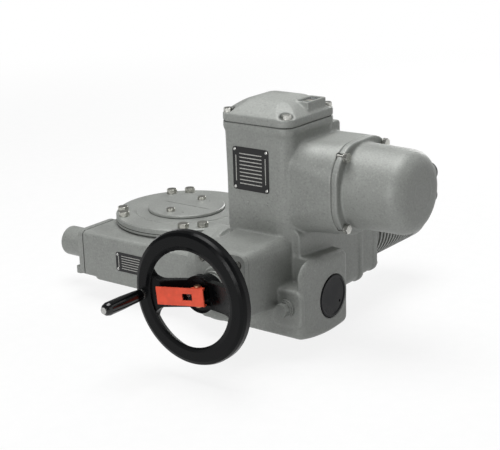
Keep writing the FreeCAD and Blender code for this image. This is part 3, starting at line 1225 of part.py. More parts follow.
def make_handwheel_shaft():
    """Shaft from the hub through the boss cover to the jaw in front of the worm."""
    end = drive_bearing_front - 16 - WHEEL_FRONT
    shaft = rod(from_wheel(0, shaft_front, 0), Y_AXIS, DRIVE_SHAFT_RADIUS, end - shaft_front)
    collar = rod(from_wheel(0, BOSS_FRONT + 1 - WHEEL_FRONT, 0), Y_AXIS, 18, 6)
    bore = rod(from_wheel(0, 0, 0), Y_AXIS, CLUTCH_ROD_RADIUS + RUNNING, end + 5)
    slot = block(from_wheel(-30, end - 4, -4), from_wheel(30, end + 1, 4))
    return wheel_turned(shaft.fuse(collar).cut(group([bore, slot])))


def make_clutch_rod():
    """Push rod inside the handwheel's shaft, moved by the changeover lever."""
    end = drive_bearing_front - 26 - WHEEL_FRONT
    start = shaft_front + 2
    return wheel_turned(rod(from_wheel(0, start, 0), Y_AXIS, CLUTCH_ROD_RADIUS, end - start))


def make_hub_screw():
    return wheel_turned(socket_screw("M5", from_wheel(-HUB_SCREW_OFFSET, hub_front, 0), Y_AXIS,
                                     12))


def lever_place(shape):
    """Leans the straight lever along the dished spoke, then turns it with the wheel."""
    copy = shape.copy()
    copy.rotate(from_wheel(LEVER_PIVOT_X, LEVER_PIVOT_DEPTH, 0), Z_AXIS, LEVER_RISE)
    return wheel_turned(copy)


def make_changeover_lever():
    """Flat lever with a window and two ears, hinged on a pin across the hub."""
    front = LEVER_PIVOT_DEPTH - LEVER_REACH
    left, right = LEVER_PIVOT_X - LEVER_LENGTH_LEFT, LEVER_PIVOT_X + LEVER_LENGTH_RIGHT
    plate = block(from_wheel(left, front, -LEVER_HALF_WIDTH),
                  from_wheel(right, front + LEVER_SHEET, LEVER_HALF_WIDTH))
    sides = []
    for side in (-1, 1):
        inner, outer = side * (LEVER_HALF_WIDTH - LEVER_SHEET), side * LEVER_HALF_WIDTH
        low, high = min(inner, outer), max(inner, outer)
        sides.append(block(from_wheel(LEVER_PIVOT_X - 8, front, low),
                           from_wheel(right, front + 7, high)))
        sides.append(rod(from_wheel(LEVER_PIVOT_X, LEVER_PIVOT_DEPTH, low), Z_AXIS, 6.5,
                         LEVER_SHEET))
    lever = joined(plate, *sides)
    lever = lever.makeFillet(1.2, edges_at(lever, Y_AXIS, WHEEL_FRONT + front))
    window = block(from_wheel(LEVER_WINDOW_X - LEVER_WINDOW_HALF_WIDTH, front - 1,
                              -LEVER_WINDOW_HALF_HEIGHT),
                   from_wheel(LEVER_WINDOW_X + LEVER_WINDOW_HALF_WIDTH, front + 9,
                              LEVER_WINDOW_HALF_HEIGHT))
    pin_hole = rod(from_wheel(LEVER_PIVOT_X, LEVER_PIVOT_DEPTH, -20), Z_AXIS,
                   LEVER_PIN_RADIUS + RUNNING, 40)
    return lever_place(lever.cut(group([window, pin_hole])))


def make_lever_pin():
    """Headed pin through the hub's lug, which both ends of the lever turn on."""
    reach = LEVER_HALF_WIDTH + 0.4
    pin = rod(from_wheel(LEVER_PIVOT_X, LEVER_PIVOT_DEPTH, -reach), Z_AXIS, LEVER_PIN_RADIUS,
              2 * reach)
    heads = [rod(from_wheel(LEVER_PIVOT_X, LEVER_PIVOT_DEPTH, start), Z_AXIS, 5.0, 2.0)
             for start in (reach, -reach - 2)]
    return wheel_turned(pin.multiFuse(heads))


def make_grip():
    """Revolving grip on the rim, with a flat rounded end."""
    start = from_wheel(-GRIP_OFFSET, -4, 0)
    body = turned(start, Y_AXIS * -1, [
        (0, 0), (0, 7.5), (1.5, 8.2), (12, GRIP_RADIUS - 1), (40, GRIP_RADIUS),
        (GRIP_LENGTH - 8, GRIP_RADIUS), (GRIP_LENGTH - 3, GRIP_RADIUS - 1.5),
        (GRIP_LENGTH, GRIP_RADIUS - 4.5), (GRIP_LENGTH, 0)])
    bore = rod(from_wheel(-GRIP_OFFSET, 0, 0), Y_AXIS * -1, GRIP_PIN_RADIUS + RUNNING, 100)
    return wheel_turned(body.cut(bore))


def make_grip_pin():
    """Spindle of the grip, riveted in the rim with a bright ring under the grip."""
    start = from_wheel(-GRIP_OFFSET, RIM_DEPTH, 0)
    pin = rod(start, Y_AXIS * -1, GRIP_PIN_RADIUS, RIM_DEPTH + 4 + GRIP_LENGTH)
    ring = rod(from_wheel(-GRIP_OFFSET, 0, 0), Y_AXIS * -1, 7.5, 4 - LOOSE)
    head = rod(from_wheel(-GRIP_OFFSET, -4 - GRIP_LENGTH - LOOSE, 0), Y_AXIS * -1, 5.0, 1.2)
    pin = pin.multiFuse([ring, head, rod(start - Y_AXIS * (RIM_DEPTH + 4 + GRIP_LENGTH),
                                         Y_AXIS * -1, GRIP_PIN_RADIUS, LOOSE)])
    return wheel_turned(pin)


# Drive: control cover and what is under it

def control_dome(inset):
    """Rim, swelling slopes and low crown of the control cover, drawn inset from the outside."""
    base = point(NECK_X, NECK_Y, NECK_RIM_HEIGHT)
    outer = NECK_HALF_WIDTH - inset
    shoulder = CONTROL_SHOULDER_HALF - inset
    rise = CONTROL_SHOULDER - CONTROL_RIM
    corner_share = NECK_CORNER / NECK_HALF_WIDTH
    slope, crown = [], []
    for share in (0.0, 0.35, 0.7, 1.0):
        half = outer - (outer - shoulder) * share
        height = CONTROL_RIM + rise * (share + CONTROL_BULGE * share * (1 - share))
        slope.append(rounded_outline(half, half, half * corner_share, height))
    for share in (0.0, 0.4, 0.75, 1.0):
        half = shoulder * (1 - 0.8 * share)
        height = CONTROL_SHOULDER + (CONTROL_DOME - inset - CONTROL_SHOULDER) * math.sin(
            math.pi / 2 * share)
        crown.append(rounded_outline(half, half, half * corner_share, height))
    solids = [rounded_prism(base, Z_AXIS, outer, outer, outer * corner_share, CONTROL_RIM,
                            Y_AXIS)]
    for outlines in (slope, crown):
        solids.append(placed(Part.makeLoft(outlines, True, False), base, Z_AXIS, Y_AXIS))
    return solids[0].multiFuse(solids[1:])


def window_block(inset, top):
    return block(WINDOW_LOW + Vector(inset, inset, NECK_RIM_HEIGHT + CONTROL_RIM - 6),
                 WINDOW_HIGH + Vector(-inset, -inset, top))


def corner_cuts(wall):
    """Flat facets over the dome's corners and round screw pockets, drawn a wall further in."""
    middle = point(NECK_X, NECK_Y, NECK_RIM_HEIGHT + CONTROL_RIM)
    rise = CONTROL_SHOULDER - CONTROL_RIM
    run = CONTROL_FACET_FOOT - CONTROL_FACET_TOP
    over_rim = block(middle + Vector(-100, -100, -wall), middle + Vector(100, 100, 60))
    cuts = []
    for seat in control_screw_seats():
        outward = Vector(seat.x - NECK_X, seat.y - NECK_Y, 0).normalize()
        slope = (outward * rise + Z_AXIS * run).normalize()
        foot = middle + outward * CONTROL_FACET_FOOT
        cuts.append(rod(foot - slope * wall, slope, 60, 40).common(over_rim))
        floor = seat - Z_AXIS * (CONTROL_RIM + 1 if wall else 0)
        cuts.append(rod(floor, Z_AXIS, CONTROL_POCKET_RADIUS + wall, 40))
    return cuts


def make_control_cover():
    """Cast cover with screw pockets at its corners and the indicator's window block."""
    outer = control_dome(0).cut(group(corner_cuts(0))).fuse(window_block(0, window_top))
    centre = indicator_centre()
    inner = control_dome(CONTROL_WALL + 4).cut(group(corner_cuts(CONTROL_WALL)))
    room = block(point(centre.x - INDICATOR_RADIUS - 1.5, WINDOW_LOW.y + CONTROL_WALL,
                       NECK_RIM_HEIGHT + CONTROL_RIM - 6),
                 point(WINDOW_HIGH.x - CONTROL_WALL, WINDOW_HIGH.y - CONTROL_WALL,
                       window_top - WINDOW_GLASS - 2))
    sight = window_block(6.0, window_top + 1)
    glass = window_block(CONTROL_WALL, window_top + 1)
    glass = glass.common(block(point(200, -200, window_top - WINDOW_GLASS),
                               point(400, 0, window_top + 2)))
    holes = screw_holes("M8", control_screw_seats(), Z_AXIS * -1, CONTROL_RIM)
    cover = outer.cut(group(holes))
    return cover.cut(inner).cut(room).cut(sight).cut(glass)


def make_control_screws():
    return group(hex_screw("M8", seat, Z_AXIS * -1, CONTROL_RIM + 16)
                 for seat in control_screw_seats())


def make_window_glass():
    low = WINDOW_LOW + Vector(CONTROL_WALL + 0.1, CONTROL_WALL + 0.1,
                              window_top - WINDOW_GLASS)
    high = WINDOW_HIGH + Vector(-CONTROL_WALL - 0.1, -CONTROL_WALL - 0.1, window_top - 1.0)
    return block(low, high)


def indicator_centre():
    return point(WINDOW_HIGH.x - CONTROL_WALL - INDICATOR_RADIUS - 0.5,
                 (WINDOW_LOW.y + WINDOW_HIGH.y) / 2, 0)


def make_indicator_disc():
    """Dial with a pointer ridge under the window."""
    centre = indicator_centre()
    level = window_top - WINDOW_GLASS - 5
    disc = rod(point(centre.x, centre.y, level), Z_AXIS, INDICATOR_RADIUS, 1.6)
    ridge = block(point(centre.x - 10, centre.y - 1, level + 1.6),
                  point(centre.x + 4, centre.y + 1, level + 2.6))
    stem = rod(point(centre.x, centre.y, level - 22), Z_AXIS, 3, 22)
    return disc.multiFuse([ridge, stem])


def make_control_unit():
    """Frame of the switch unit: base plate, pillars and a top plate under the dial."""
    centre = indicator_centre()
    top = window_top - WINDOW_GLASS - 5 - 12
    room = NECK_HALF_WIDTH - NECK_WALL - 5
    base = block(point(NECK_X - room + 4, NECK_Y - room + 4, NECK_FLOOR),
                 point(NECK_X + room - 4, NECK_Y + room - 4, NECK_FLOOR + 6))
    plate = block(point(NECK_X - 34, NECK_Y - 34, top - 10),
                  point(NECK_X + 34, NECK_Y + 34, top - 6))
    pillars = [rod(point(NECK_X + side_x * 30, NECK_Y + side_y * 30, NECK_FLOOR + 6), Z_AXIS, 4,
                   top - 16 - NECK_FLOOR) for side_x in (-1, 1) for side_y in (-1, 1)]
    arm = block(point(NECK_X + 10, centre.y - 8, top - 6), point(centre.x + 7, centre.y + 8, top))
    bore = rod(point(centre.x, centre.y, top - 20), Z_AXIS, 3 + RUNNING, 30)
    half = SWITCH_CARRIER / 2
    carrier = block(point(NECK_X - half, NECK_Y - 24, NECK_FLOOR + 6),
                    point(NECK_X + half, NECK_Y + 24, NECK_FLOOR + 96))
    return base.multiFuse([plate, arm, carrier] + pillars).cut(bore)


def make_limit_switches():
    """Switch blocks on both sides of the switch unit's upright carrier."""
    blocks = []
    depth = 22
    for start in (NECK_X - SWITCH_CARRIER / 2 - depth, NECK_X + SWITCH_CARRIER / 2):
        for number in range(3):
            low = point(start, NECK_Y - 20, NECK_FLOOR + 14 + number * 26)
            blocks.append(block(low, low + Vector(depth, 40, 20)))
    return group(blocks)


# Drive: plug connector

def make_connector_cover():
    """Connector hood: rounded flange, tapered cap with a wide edge, ring and cable bosses."""
    flange = rounded_prism(connector_axis, X_AXIS, CONNECTOR_HALF_WIDTH, CONNECTOR_HALF_HEIGHT,
                           CONNECTOR_CORNER, CONNECTOR_FLANGE)
    flange = flange.makeFillet(2.0, edges_at(flange, X_AXIS, connector_face))
    cap = Part.makeCone(CONNECTOR_CAP_RADIUS, CONNECTOR_CAP_END_RADIUS, CONNECTOR_CAP_LENGTH,
                        point(connector_face, CONNECTOR_Y, connector_z), X_AXIS)
    cap = cap.makeFillet(CONNECTOR_CAP_EDGE, edges_at(cap, X_AXIS, connector_end))
    ring = tube(point(connector_end - 1, CONNECTOR_Y, connector_z), X_AXIS,
                CONNECTOR_CAP_RING, CONNECTOR_CAP_RING - 1.2, 1.6)
    bosses = [rod(place, Y_AXIS, radius + 4, cable_boss_reach - place.y)
              for place, radius in cable_entries()]
    room = Part.makeCone(CONNECTOR_CAP_RADIUS - CONNECTOR_WALL - 4,
                         CONNECTOR_CAP_END_RADIUS - CONNECTOR_WALL - 6,
                         CONNECTOR_FLANGE + CONNECTOR_CAP_LENGTH - CONNECTOR_WALL,
                         connector_axis, X_AXIS)
    bores = [rod(place, Y_AXIS, radius, 80) for place, radius in cable_entries()]
    pockets = screw_passage("M8", connector_screw_seats(), X_AXIS * -1, 16)
    holes = screw_holes("M8", connector_screw_seats(), X_AXIS * -1, CONNECTOR_FLANGE)
    outer = flange.multiFuse([cap] + bosses)
    return outer.cut(group(pockets + holes)).fuse(ring).cut(room).cut(group(bores))


def cable_entries():
    """Start points on the hood's mid plane and radii of the cable entries at its back."""
    x = connector_face + 29
    places = ((0, -4), (38, 14), (38, -20))
    return [(point(x + along, CONNECTOR_Y + 40, connector_z + up), radius)
            for (along, up), radius in zip(places, CABLE_ENTRY_RADII)]


def make_entry_plugs():
    """Blanking plugs in the cable entries, with a screwdriver slot."""
    plugs = []
    for place, radius in cable_entries():
        start = point(place.x, cable_boss_reach, place.z)
        plug = rod(start, Y_AXIS * -1, radius - 0.1, 14).fuse(rod(start, Y_AXIS, radius + 2.5, 4))
        slot = block(start + Vector(-radius, 2.5, -1.2), start + Vector(radius, 6, 1.2))
        plugs.append(plug.cut(slot))
    return group(plugs)


def make_connector_screws():
    return group(hex_screw("M8", seat, X_AXIS * -1, CONNECTOR_FLANGE + 16)
                 for seat in connector_screw_seats())


def make_socket_carrier():
    """Insulating disc across the connector's mouth, in the casting."""
    return rod(connector_axis - X_AXIS * (SOCKET_THICKNESS + 4), X_AXIS,
               CONNECTOR_BORE_RADIUS - 0.1, SOCKET_THICKNESS)


def make_contact_pins():
    """Contact pins that stand out of the socket carrier in three rings."""
    pins = []
    for radius, count in ((18, 6), (32, 10), (45, 12)):
        for number in range(count):
            angle = 2 * math.pi * number / count
            y = CONNECTOR_Y + radius * math.cos(angle)
            z = connector_z + radius * math.sin(angle)
            pins.append(block(point(CONNECTOR_SPLIT - 4, y - 1.5, z - 1.5),
                              point(CONNECTOR_SPLIT + 10, y + 1.5, z + 1.5)))
    return group(pins)


NODES = {
    "gear_housing": make_gear_housing,
    "wheel_bushes": make_wheel_bushes,
    "lower_seal": make_lower_seal,
    "bearing_cover": make_bearing_cover,
    "bearing_cover_screws": make_cover_screws,
    "worm_wheel": make_worm_wheel,
    "valve_coupling": make_valve_coupling,
    "pointer_cover": make_pointer_cover,
    "pointer_screws": make_pointer_screws,
    "gear_worm": make_gear_worm,
    "worm_bearings": make_worm_bearings,
    "worm_seal": make_worm_seal,
    "stop_plate": make_stop_plate,
    "stop_plate_screws": make_stop_plate_screws,
    "stop_sleeve": make_stop_sleeve,
    "stop_nut": make_stop_nut,
    "protective_cap": make_protective_cap,
    "gearbox_plate": make_gearbox_plate,
    "rating_plate": make_rating_plate,
    "plate_pins": make_plate_pins,
    "drive_housing": make_drive_housing,
    "input_flange_screws": make_input_flange_screws,
    "hollow_shaft": make_hollow_shaft,
    "drive_wheel": make_drive_wheel,
    "hollow_shaft_bearings": make_hollow_bearings,
    "output_plug": make_output_plug,
    "front_plug": make_front_plug,
    "drive_worm": make_drive_worm,
    "drive_worm_bearings": make_drive_bearings,
    "disc_springs": make_disc_springs,
    "motor_coupling": make_motor_coupling,
    "motor_adapter": make_motor_adapter,
    "motor_screws": make_motor_screws,
    "motor_housing": make_motor_housing,
    "motor_end_cover": make_motor_end,
    "motor_end_screws": make_motor_end_screws,
    "motor_stator": make_stator,
    "motor_rotor": make_rotor,
    "motor_bearings": make_motor_bearings,
    "boss_cover": make_boss_plate,
    "boss_cover_screws": make_boss_screws,
    "handwheel": make_handwheel,
    "handwheel_shaft": make_handwheel_shaft,
    "clutch_rod": make_clutch_rod,
    "hub_screw": make_hub_screw,
    "changeover_lever": make_changeover_lever,
    "lever_pin": make_lever_pin,
    "grip": make_grip,
    "grip_pin": make_grip_pin,
    "control_cover": make_control_cover,
    "control_cover_screws": make_control_screws,
    "window_glass": make_window_glass,
    "indicator_disc": make_indicator_disc,
    "control_unit": make_control_unit,
    "limit_switches": make_limit_switches,
    "connector_cover": make_connector_cover,
    "connector_screws": make_connector_screws,
    "entry_plugs": make_entry_plugs,
    "socket_carrier": make_socket_carrier,
    "contact_pins": make_contact_pins,
}


def main():
    os.makedirs("parts", exist_ok=True)
    for name, make in NODES.items():
        make().exportStep(f"parts/{name}.step")


main()
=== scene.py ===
import json
import math

import bmesh
import bpy
from bpy.props import FloatProperty, FloatVectorProperty, IntProperty, PointerProperty
from mathutils import Matrix, Vector


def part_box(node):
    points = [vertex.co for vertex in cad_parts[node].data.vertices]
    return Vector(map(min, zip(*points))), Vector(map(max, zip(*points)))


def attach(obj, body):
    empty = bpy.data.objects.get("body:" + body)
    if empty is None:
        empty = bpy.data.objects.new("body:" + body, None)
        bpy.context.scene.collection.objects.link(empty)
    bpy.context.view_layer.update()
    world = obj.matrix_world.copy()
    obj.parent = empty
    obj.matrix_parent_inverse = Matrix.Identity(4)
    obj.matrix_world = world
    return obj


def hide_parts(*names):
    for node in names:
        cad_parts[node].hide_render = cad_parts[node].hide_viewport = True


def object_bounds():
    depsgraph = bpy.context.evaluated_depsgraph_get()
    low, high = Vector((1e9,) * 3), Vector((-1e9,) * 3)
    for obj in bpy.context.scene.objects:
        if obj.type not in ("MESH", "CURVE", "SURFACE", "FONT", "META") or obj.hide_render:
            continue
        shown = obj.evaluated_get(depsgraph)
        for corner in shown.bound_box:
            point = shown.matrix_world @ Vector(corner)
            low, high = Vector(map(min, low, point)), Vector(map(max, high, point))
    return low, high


# Looks of an electric actuator on a worm gearbox: satin grey castings, bright screws, a black
# handwheel with an orange lever, and two dark plates. Lengths are metres, in the frame's axes:
# +Z up, +X along the gearbox worm to the drive, -Y towards the handwheel.

bl_info = {
    "name": "Actuator looks",
    "version": (1, 0, 0),
    "blender": (4, 5, 0),
    "location": "3D View > Sidebar > Actuator",
    "description": "Cast skins, finishes and stage for a quarter-turn actuator",
    "category": "Object",
}

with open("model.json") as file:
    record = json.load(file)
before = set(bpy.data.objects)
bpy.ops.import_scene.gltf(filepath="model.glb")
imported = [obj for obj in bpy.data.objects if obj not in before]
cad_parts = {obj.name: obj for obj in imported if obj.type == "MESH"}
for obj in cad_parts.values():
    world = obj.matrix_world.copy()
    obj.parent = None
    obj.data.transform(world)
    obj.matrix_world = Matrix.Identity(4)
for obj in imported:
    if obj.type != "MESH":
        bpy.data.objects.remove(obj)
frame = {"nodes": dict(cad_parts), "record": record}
cad_low, cad_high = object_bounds()


def screen(red, green, blue):
    """Scene colour of a colour that is given as it looks on a screen, each from 0 to 1."""
    return tuple(((part + 0.055) / 1.055) ** 2.4 for part in (red, green, blue))


# Properties

class ActuatorPaint(bpy.types.PropertyGroup):
    """Colours of the paint, coatings and plates, and the paint's grain, edges and wear"""
    casting: FloatVectorProperty(
        name="Casting colour", description="Satin grey paint on the castings",
        default=screen(0.60, 0.61, 0.595), subtype="COLOR", min=0, max=1)
    cover: FloatVectorProperty(
        name="Cover colour", description="Paint on the smoother covers and the hood",
        default=screen(0.615, 0.625, 0.61), subtype="COLOR", min=0, max=1)
    wheel: FloatVectorProperty(
        name="Handwheel colour", description="Black coating on the handwheel",
        default=screen(0.04, 0.045, 0.05), subtype="COLOR", min=0, max=1)
    lever: FloatVectorProperty(
        name="Lever colour", description="Orange-red coating on the changeover lever",
        default=screen(0.98, 0.36, 0.24), subtype="COLOR", min=0, max=1)
    plug: FloatVectorProperty(
        name="Plug colour", description="Blue-black moulding of the output plug",
        default=screen(0.07, 0.08, 0.10), subtype="COLOR", min=0, max=1)
    plate: FloatVectorProperty(
        name="Plate colour", description="Ground of the two plates",
        default=screen(0.085, 0.085, 0.09), subtype="COLOR", min=0, max=1)
    line: FloatVectorProperty(
        name="Plate line colour", description="Ruled lines on the two plates",
        default=screen(0.78, 0.78, 0.76), subtype="COLOR", min=0, max=1)
    grain: FloatProperty(
        name="Cast grain", description="Spacing of the sand grain under the paint",
        default=0.0022, unit="LENGTH", min=0.0005, max=0.01)
    grain_depth: FloatProperty(
        name="Grain depth", description="Height of the sand grain under the paint",
        default=0.00012, unit="LENGTH", min=0, max=0.001)
    edge: FloatProperty(
        name="Edge round", description="Radius that paint and tumbling give to sharp edges",
        default=0.0011, unit="LENGTH", min=0, max=0.01)
    wear: FloatProperty(
        name="Wear", description="How much lighter the paint is along rubbed edges",
        default=0.35, subtype="FACTOR", min=0, max=1)


class ActuatorSkin(bpy.types.PropertyGroup):
    """Mesh of the softened castings and covers"""
    voxel: FloatProperty(
        name="Skin step", description="Mesh spacing of the softened castings",
        default=0.0018, unit="LENGTH", min=0.0008, max=0.006)
    kept: FloatProperty(
        name="Kept faces", description="Share of the skin's faces that is kept",
        default=0.4, subtype="FACTOR", min=0.05, max=1)


class ActuatorTrim(bpy.types.PropertyGroup):
    """Casting marks, the cover's joint line, and the indicator's mask and dial"""
    mark_radius: FloatProperty(
        name="Mark radius", description="Radius of the round marks on the drive casting",
        default=0.0024, unit="LENGTH", min=0.0005, max=0.01)
    mark_height: FloatProperty(
        name="Mark height", description="Height of the round marks, with what is sunk in",
        default=0.0014, unit="LENGTH", min=0.0002, max=0.005)
    joint_drop: FloatProperty(
        name="Joint drop", description="From the gearbox cover's top down to the joint line",
        default=0.0105, unit="LENGTH", min=0.002, max=0.012)
    joint_height: FloatProperty(
        name="Joint height", description="Height of the joint line on the cover's side",
        default=0.0012, unit="LENGTH", min=0.0002, max=0.003)
    mask_hole: FloatProperty(
        name="Mask hole", description="Radius of the mask's hole as a share of the dial's width",
        default=0.44, subtype="FACTOR", min=0.1, max=0.5)
    ticks: IntProperty(
        name="Dial ticks", description="Marks round the indicator's dial",
        default=24, min=4, max=90)


class ActuatorStage(bpy.types.PropertyGroup):
    """Camera, lamps and sky"""
    azimuth: FloatProperty(
        name="Azimuth", description="Camera's direction round the object, 0 looks along +Y",
        default=math.radians(37.324), subtype="ANGLE")
    elevation: FloatProperty(
        name="Elevation", description="Camera's height as an angle over the horizon",
        default=math.radians(17.094), subtype="ANGLE")
    roll: FloatProperty(
        name="Roll", description="Camera's turn about its own line of sight",
        default=math.radians(1.678), subtype="ANGLE")
    distance: FloatProperty(
        name="Distance", description="From the camera to the handwheel's centre",
        default=1.8406, unit="LENGTH", min=0.2, max=20)
    lens: FloatProperty(
        name="Lens", description="Focal length in millimetres on a 36 mm wide sensor",
        default=93.6, min=10, max=300)
    top_power: FloatProperty(
        name="Top power", description="Broad lamp overhead, in watts",
        default=42.0, min=0, max=500)
    side_power: FloatProperty(
        name="Side power", description="Lamps in front and behind, in watts each",
        default=19.0, min=0, max=500)
    sky: FloatProperty(
        name="Sky strength", description="Even light from all round",
        default=0.22, min=0, max=2)


# Shader arithmetic

class Flow:
    """An output socket of a finish. Arithmetic on it adds Math nodes to the same finish."""

    def __init__(self, finish, socket):
        self.finish = finish
        self.socket = socket

    def __add__(self, other):
        return self.finish.maths("ADD", self, other)

    def __radd__(self, other):
        return self.finish.maths("ADD", other, self)

    def __sub__(self, other):
        return self.finish.maths("SUBTRACT", self, other)

    def __rsub__(self, other):
        return self.finish.maths("SUBTRACT", other, self)

    def __mul__(self, other):
        return self.finish.maths("MULTIPLY", self, other)

    def __rmul__(self, other):
        return self.finish.maths("MULTIPLY", other, self)

    def __truediv__(self, other):
        return self.finish.maths("DIVIDE", self, other)

    def __rtruediv__(self, other):
        return self.finish.maths("DIVIDE", other, self)

    def __mod__(self, other):
        return self.finish.maths("FLOORED_MODULO", self, other)

    def __rmod__(self, other):
        return self.finish.maths("FLOORED_MODULO", other, self)

    def __abs__(self):
        return self.finish.maths("ABSOLUTE", self)

    def __lt__(self, other):
        return self.finish.maths("LESS_THAN", self, other)

    def __gt__(self, other):
        return self.finish.maths("GREATER_THAN", self, other)


class Finish:
    """Nodes of a material or of the world, all of them added by one method."""

    # Sockets of a Mix node that blends colours. It has others of the same names.
    MIX_FIRST, MIX_SECOND, MIX_RESULT = 6, 7, 2

    def __init__(self, owner):
        owner.use_nodes = True
        self.owner = owner
        self.tree = owner.node_tree
        self.tree.nodes.clear()

    def add(self, kind, settings=None, sockets=None, output=0):
        """Adds a node, gives it its settings first and then its sockets."""
        made = self.tree.nodes.new("ShaderNode" + kind)
        for name, value in (settings or {}).items():
            setattr(made, name, value)
        for name, value in (sockets or {}).items():
            if isinstance(value, Flow):
                self.tree.links.new(value.socket, made.inputs[name])
            else:
                made.inputs[name].default_value = value
        return Flow(self, made.outputs[output]) if made.outputs else None

    def maths(self, operation, first, second=0.0):
        """A Math node on two numbers. One that takes a single number leaves out the second."""
        return self.add("Math", {"operation": operation}, {0: first, 1: second})

    def place(self):
        """The point's place in the frame's axes, because each node's object is at the origin."""
        return self.add("TexCoord", output="Object")

    def axes(self):
        """The three coordinates of the point's place."""
        place = self.place()
        return [self.add("SeparateXYZ", sockets={"Vector": place}, output=axis)
                for axis in "XYZ"]

    def noise(self, spacing, detail=3.0, roughness=0.55, stretch=(1, 1, 1)):
        """Noise whose blobs lie about spacing apart, from 0 to 1."""
        vector = self.add("VectorMath", {"operation": "MULTIPLY"},
                          {0: self.place(), 1: Vector(stretch) / spacing})
        return self.add("TexNoise", sockets={"Vector": vector, "Scale": 1.0, "Detail": detail,
                                             "Roughness": roughness})

    def between(self, value, low, high, first=0.0, last=1.0):
        """Value carried from low..high to first..last, held at both ends."""
        return self.add("MapRange", {"clamp": True, "interpolation_type": "SMOOTHSTEP"},
                        {"Value": value, "From Min": low, "From Max": high,
                         "To Min": first, "To Max": last})

    def mix(self, factor, first, second):
        """Blend of two colours."""
        return self.add("Mix", {"data_type": "RGBA"},
                        {"Factor": factor, self.MIX_FIRST: opaque(first),
                         self.MIX_SECOND: opaque(second)}, output=self.MIX_RESULT)

    def blend(self, factor, first, second):
        """Blend of two shaders."""
        return self.add("MixShader", None, {0: factor, 1: first, 2: second})

    def rounded(self, radius, samples=4):
        """Normal of the surface with its edges rounded to a radius."""
        return self.add("Bevel", {"samples": samples}, {"Radius": radius})

    def edges(self, soft):
        """1 along edges, where the rounded normal leaves the true one, and 0 on flat faces."""
        flat = self.add("NewGeometry", output="Normal")
        likeness = self.add("VectorMath", {"operation": "DOT_PRODUCT"}, {0: soft, 1: flat},
                            output="Value")
        return self.between(1 - likeness, 0.01, 0.12)

    def crevices(self, reach):
        """1 deep in corners and 0 in the open. The finishes darken colour with it as painted
        shade.
        """
        open_share = self.add("AmbientOcclusion", {"samples": 6}, {"Distance": reach},
                              output="AO")
        return self.between(1 - open_share, 0.25, 0.95)

    def bump(self, height, depth, normal=None):
        """Normal of a surface that height, from 0 to 1, lifts by up to depth."""
        sockets = {"Strength": 1.0, "Distance": depth, "Height": height}
        if normal is not None:
            sockets["Normal"] = normal
        return self.add("Bump", None, sockets)

    def surface(self, sockets):
        """Closes the finish with a Principled shader and returns its material."""
        ready = {name: opaque(value) if name == "Base Color" else value
                 for name, value in sockets.items()}
        return self.close(self.add("BsdfPrincipled", None, ready))

    def close(self, shader, output="OutputMaterial"):
        """Leads the shader to the output node and returns the material or the world."""
        self.add(output, None, {"Surface": shader})
        return self.owner


def opaque(colour):
    """Colour with its fourth value, where it is no socket and has only three."""
    if isinstance(colour, Flow) or len(colour) == 4:
        return colour
    return (*colour, 1.0)


def scaled(colour, share):
    """Colour with each of its parts multiplied by share."""
    return tuple(min(1.0, part * share) for part in tuple(colour)[:3])


def within(value, centre, half):
    """1 where value lies within half of centre."""
    return abs(value - centre) < half


def new_finish(name):
    """Finish of a new material."""
    return Finish(bpy.data.materials.new(name))


# Finishes

def cast_paint(name, colour, paint, grain_share=1.0, roughness=0.50):
    """Satin paint over sand-cast metal: grain, faint clouds, rubbed edges, painted shade in
    corners.
    """
    finish = new_finish(name)
    soft = finish.rounded(paint.edge)
    clouds = finish.noise(0.045, detail=4)
    tone = finish.mix(finish.between(clouds, 0.35, 0.65), scaled(colour, 0.95),
                      scaled(colour, 1.05))
    speckle = finish.noise(0.0030, detail=2)
    speckle_share = 0.7
    pits = finish.between(speckle, 0.46, 0.30) * speckle_share
    flecks = finish.between(speckle, 0.54, 0.70) * speckle_share
    pitted = finish.mix(pits, tone, scaled(colour, 0.80))
    flecked = finish.mix(flecks, pitted, scaled(colour, 1.22))
    # Painted shade: the colour darkens deep in corners and recesses, where shade falls.
    painted_corner_shade = finish.mix(finish.crevices(0.006) * 0.9, flecked, scaled(colour, 0.30))
    patches = finish.between(finish.noise(0.010, detail=4), 0.42, 0.62)
    rubbed = finish.edges(soft) * patches * paint.wear
    worn = finish.mix(rubbed, painted_corner_shade, scaled(colour, 1.55))
    swell = finish.noise(paint.grain * 9, detail=2) * 2.2
    grain = finish.noise(paint.grain, detail=4, roughness=0.6) + swell
    gloss = finish.between(clouds, 0.3, 0.7, roughness - 0.05, roughness + 0.07)
    return finish.surface({
        "Base Color": worn, "Metallic": 0.18, "Roughness": gloss, "Coat Weight": 0.06,
        "Coat Roughness": 0.30,
        "Normal": finish.bump(grain, paint.grain_depth * grain_share, soft)})


def bright_steel(name, colour, roughness=0.30):
    """Plated or ground steel with fine marks, and painted shade that darkens it in corners."""
    finish = new_finish(name)
    soft = finish.rounded(0.0004)
    marks = finish.noise(0.0012, roughness=0.6)
    stains = finish.noise(0.006)
    tone = finish.mix(finish.between(stains, 0.35, 0.7), scaled(colour, 0.82), colour)
    # Painted shade: the colour darkens to a quarter deep in corners.
    dark = finish.mix(finish.crevices(0.005) * 0.7, tone, scaled(colour, 0.25))
    gloss = finish.between(marks, 0.3, 0.7, roughness - 0.08, roughness + 0.12)
    return finish.surface({"Base Color": dark, "Metallic": 1.0, "Roughness": gloss,
                           "Normal": finish.bump(marks, 0.00003, soft)})


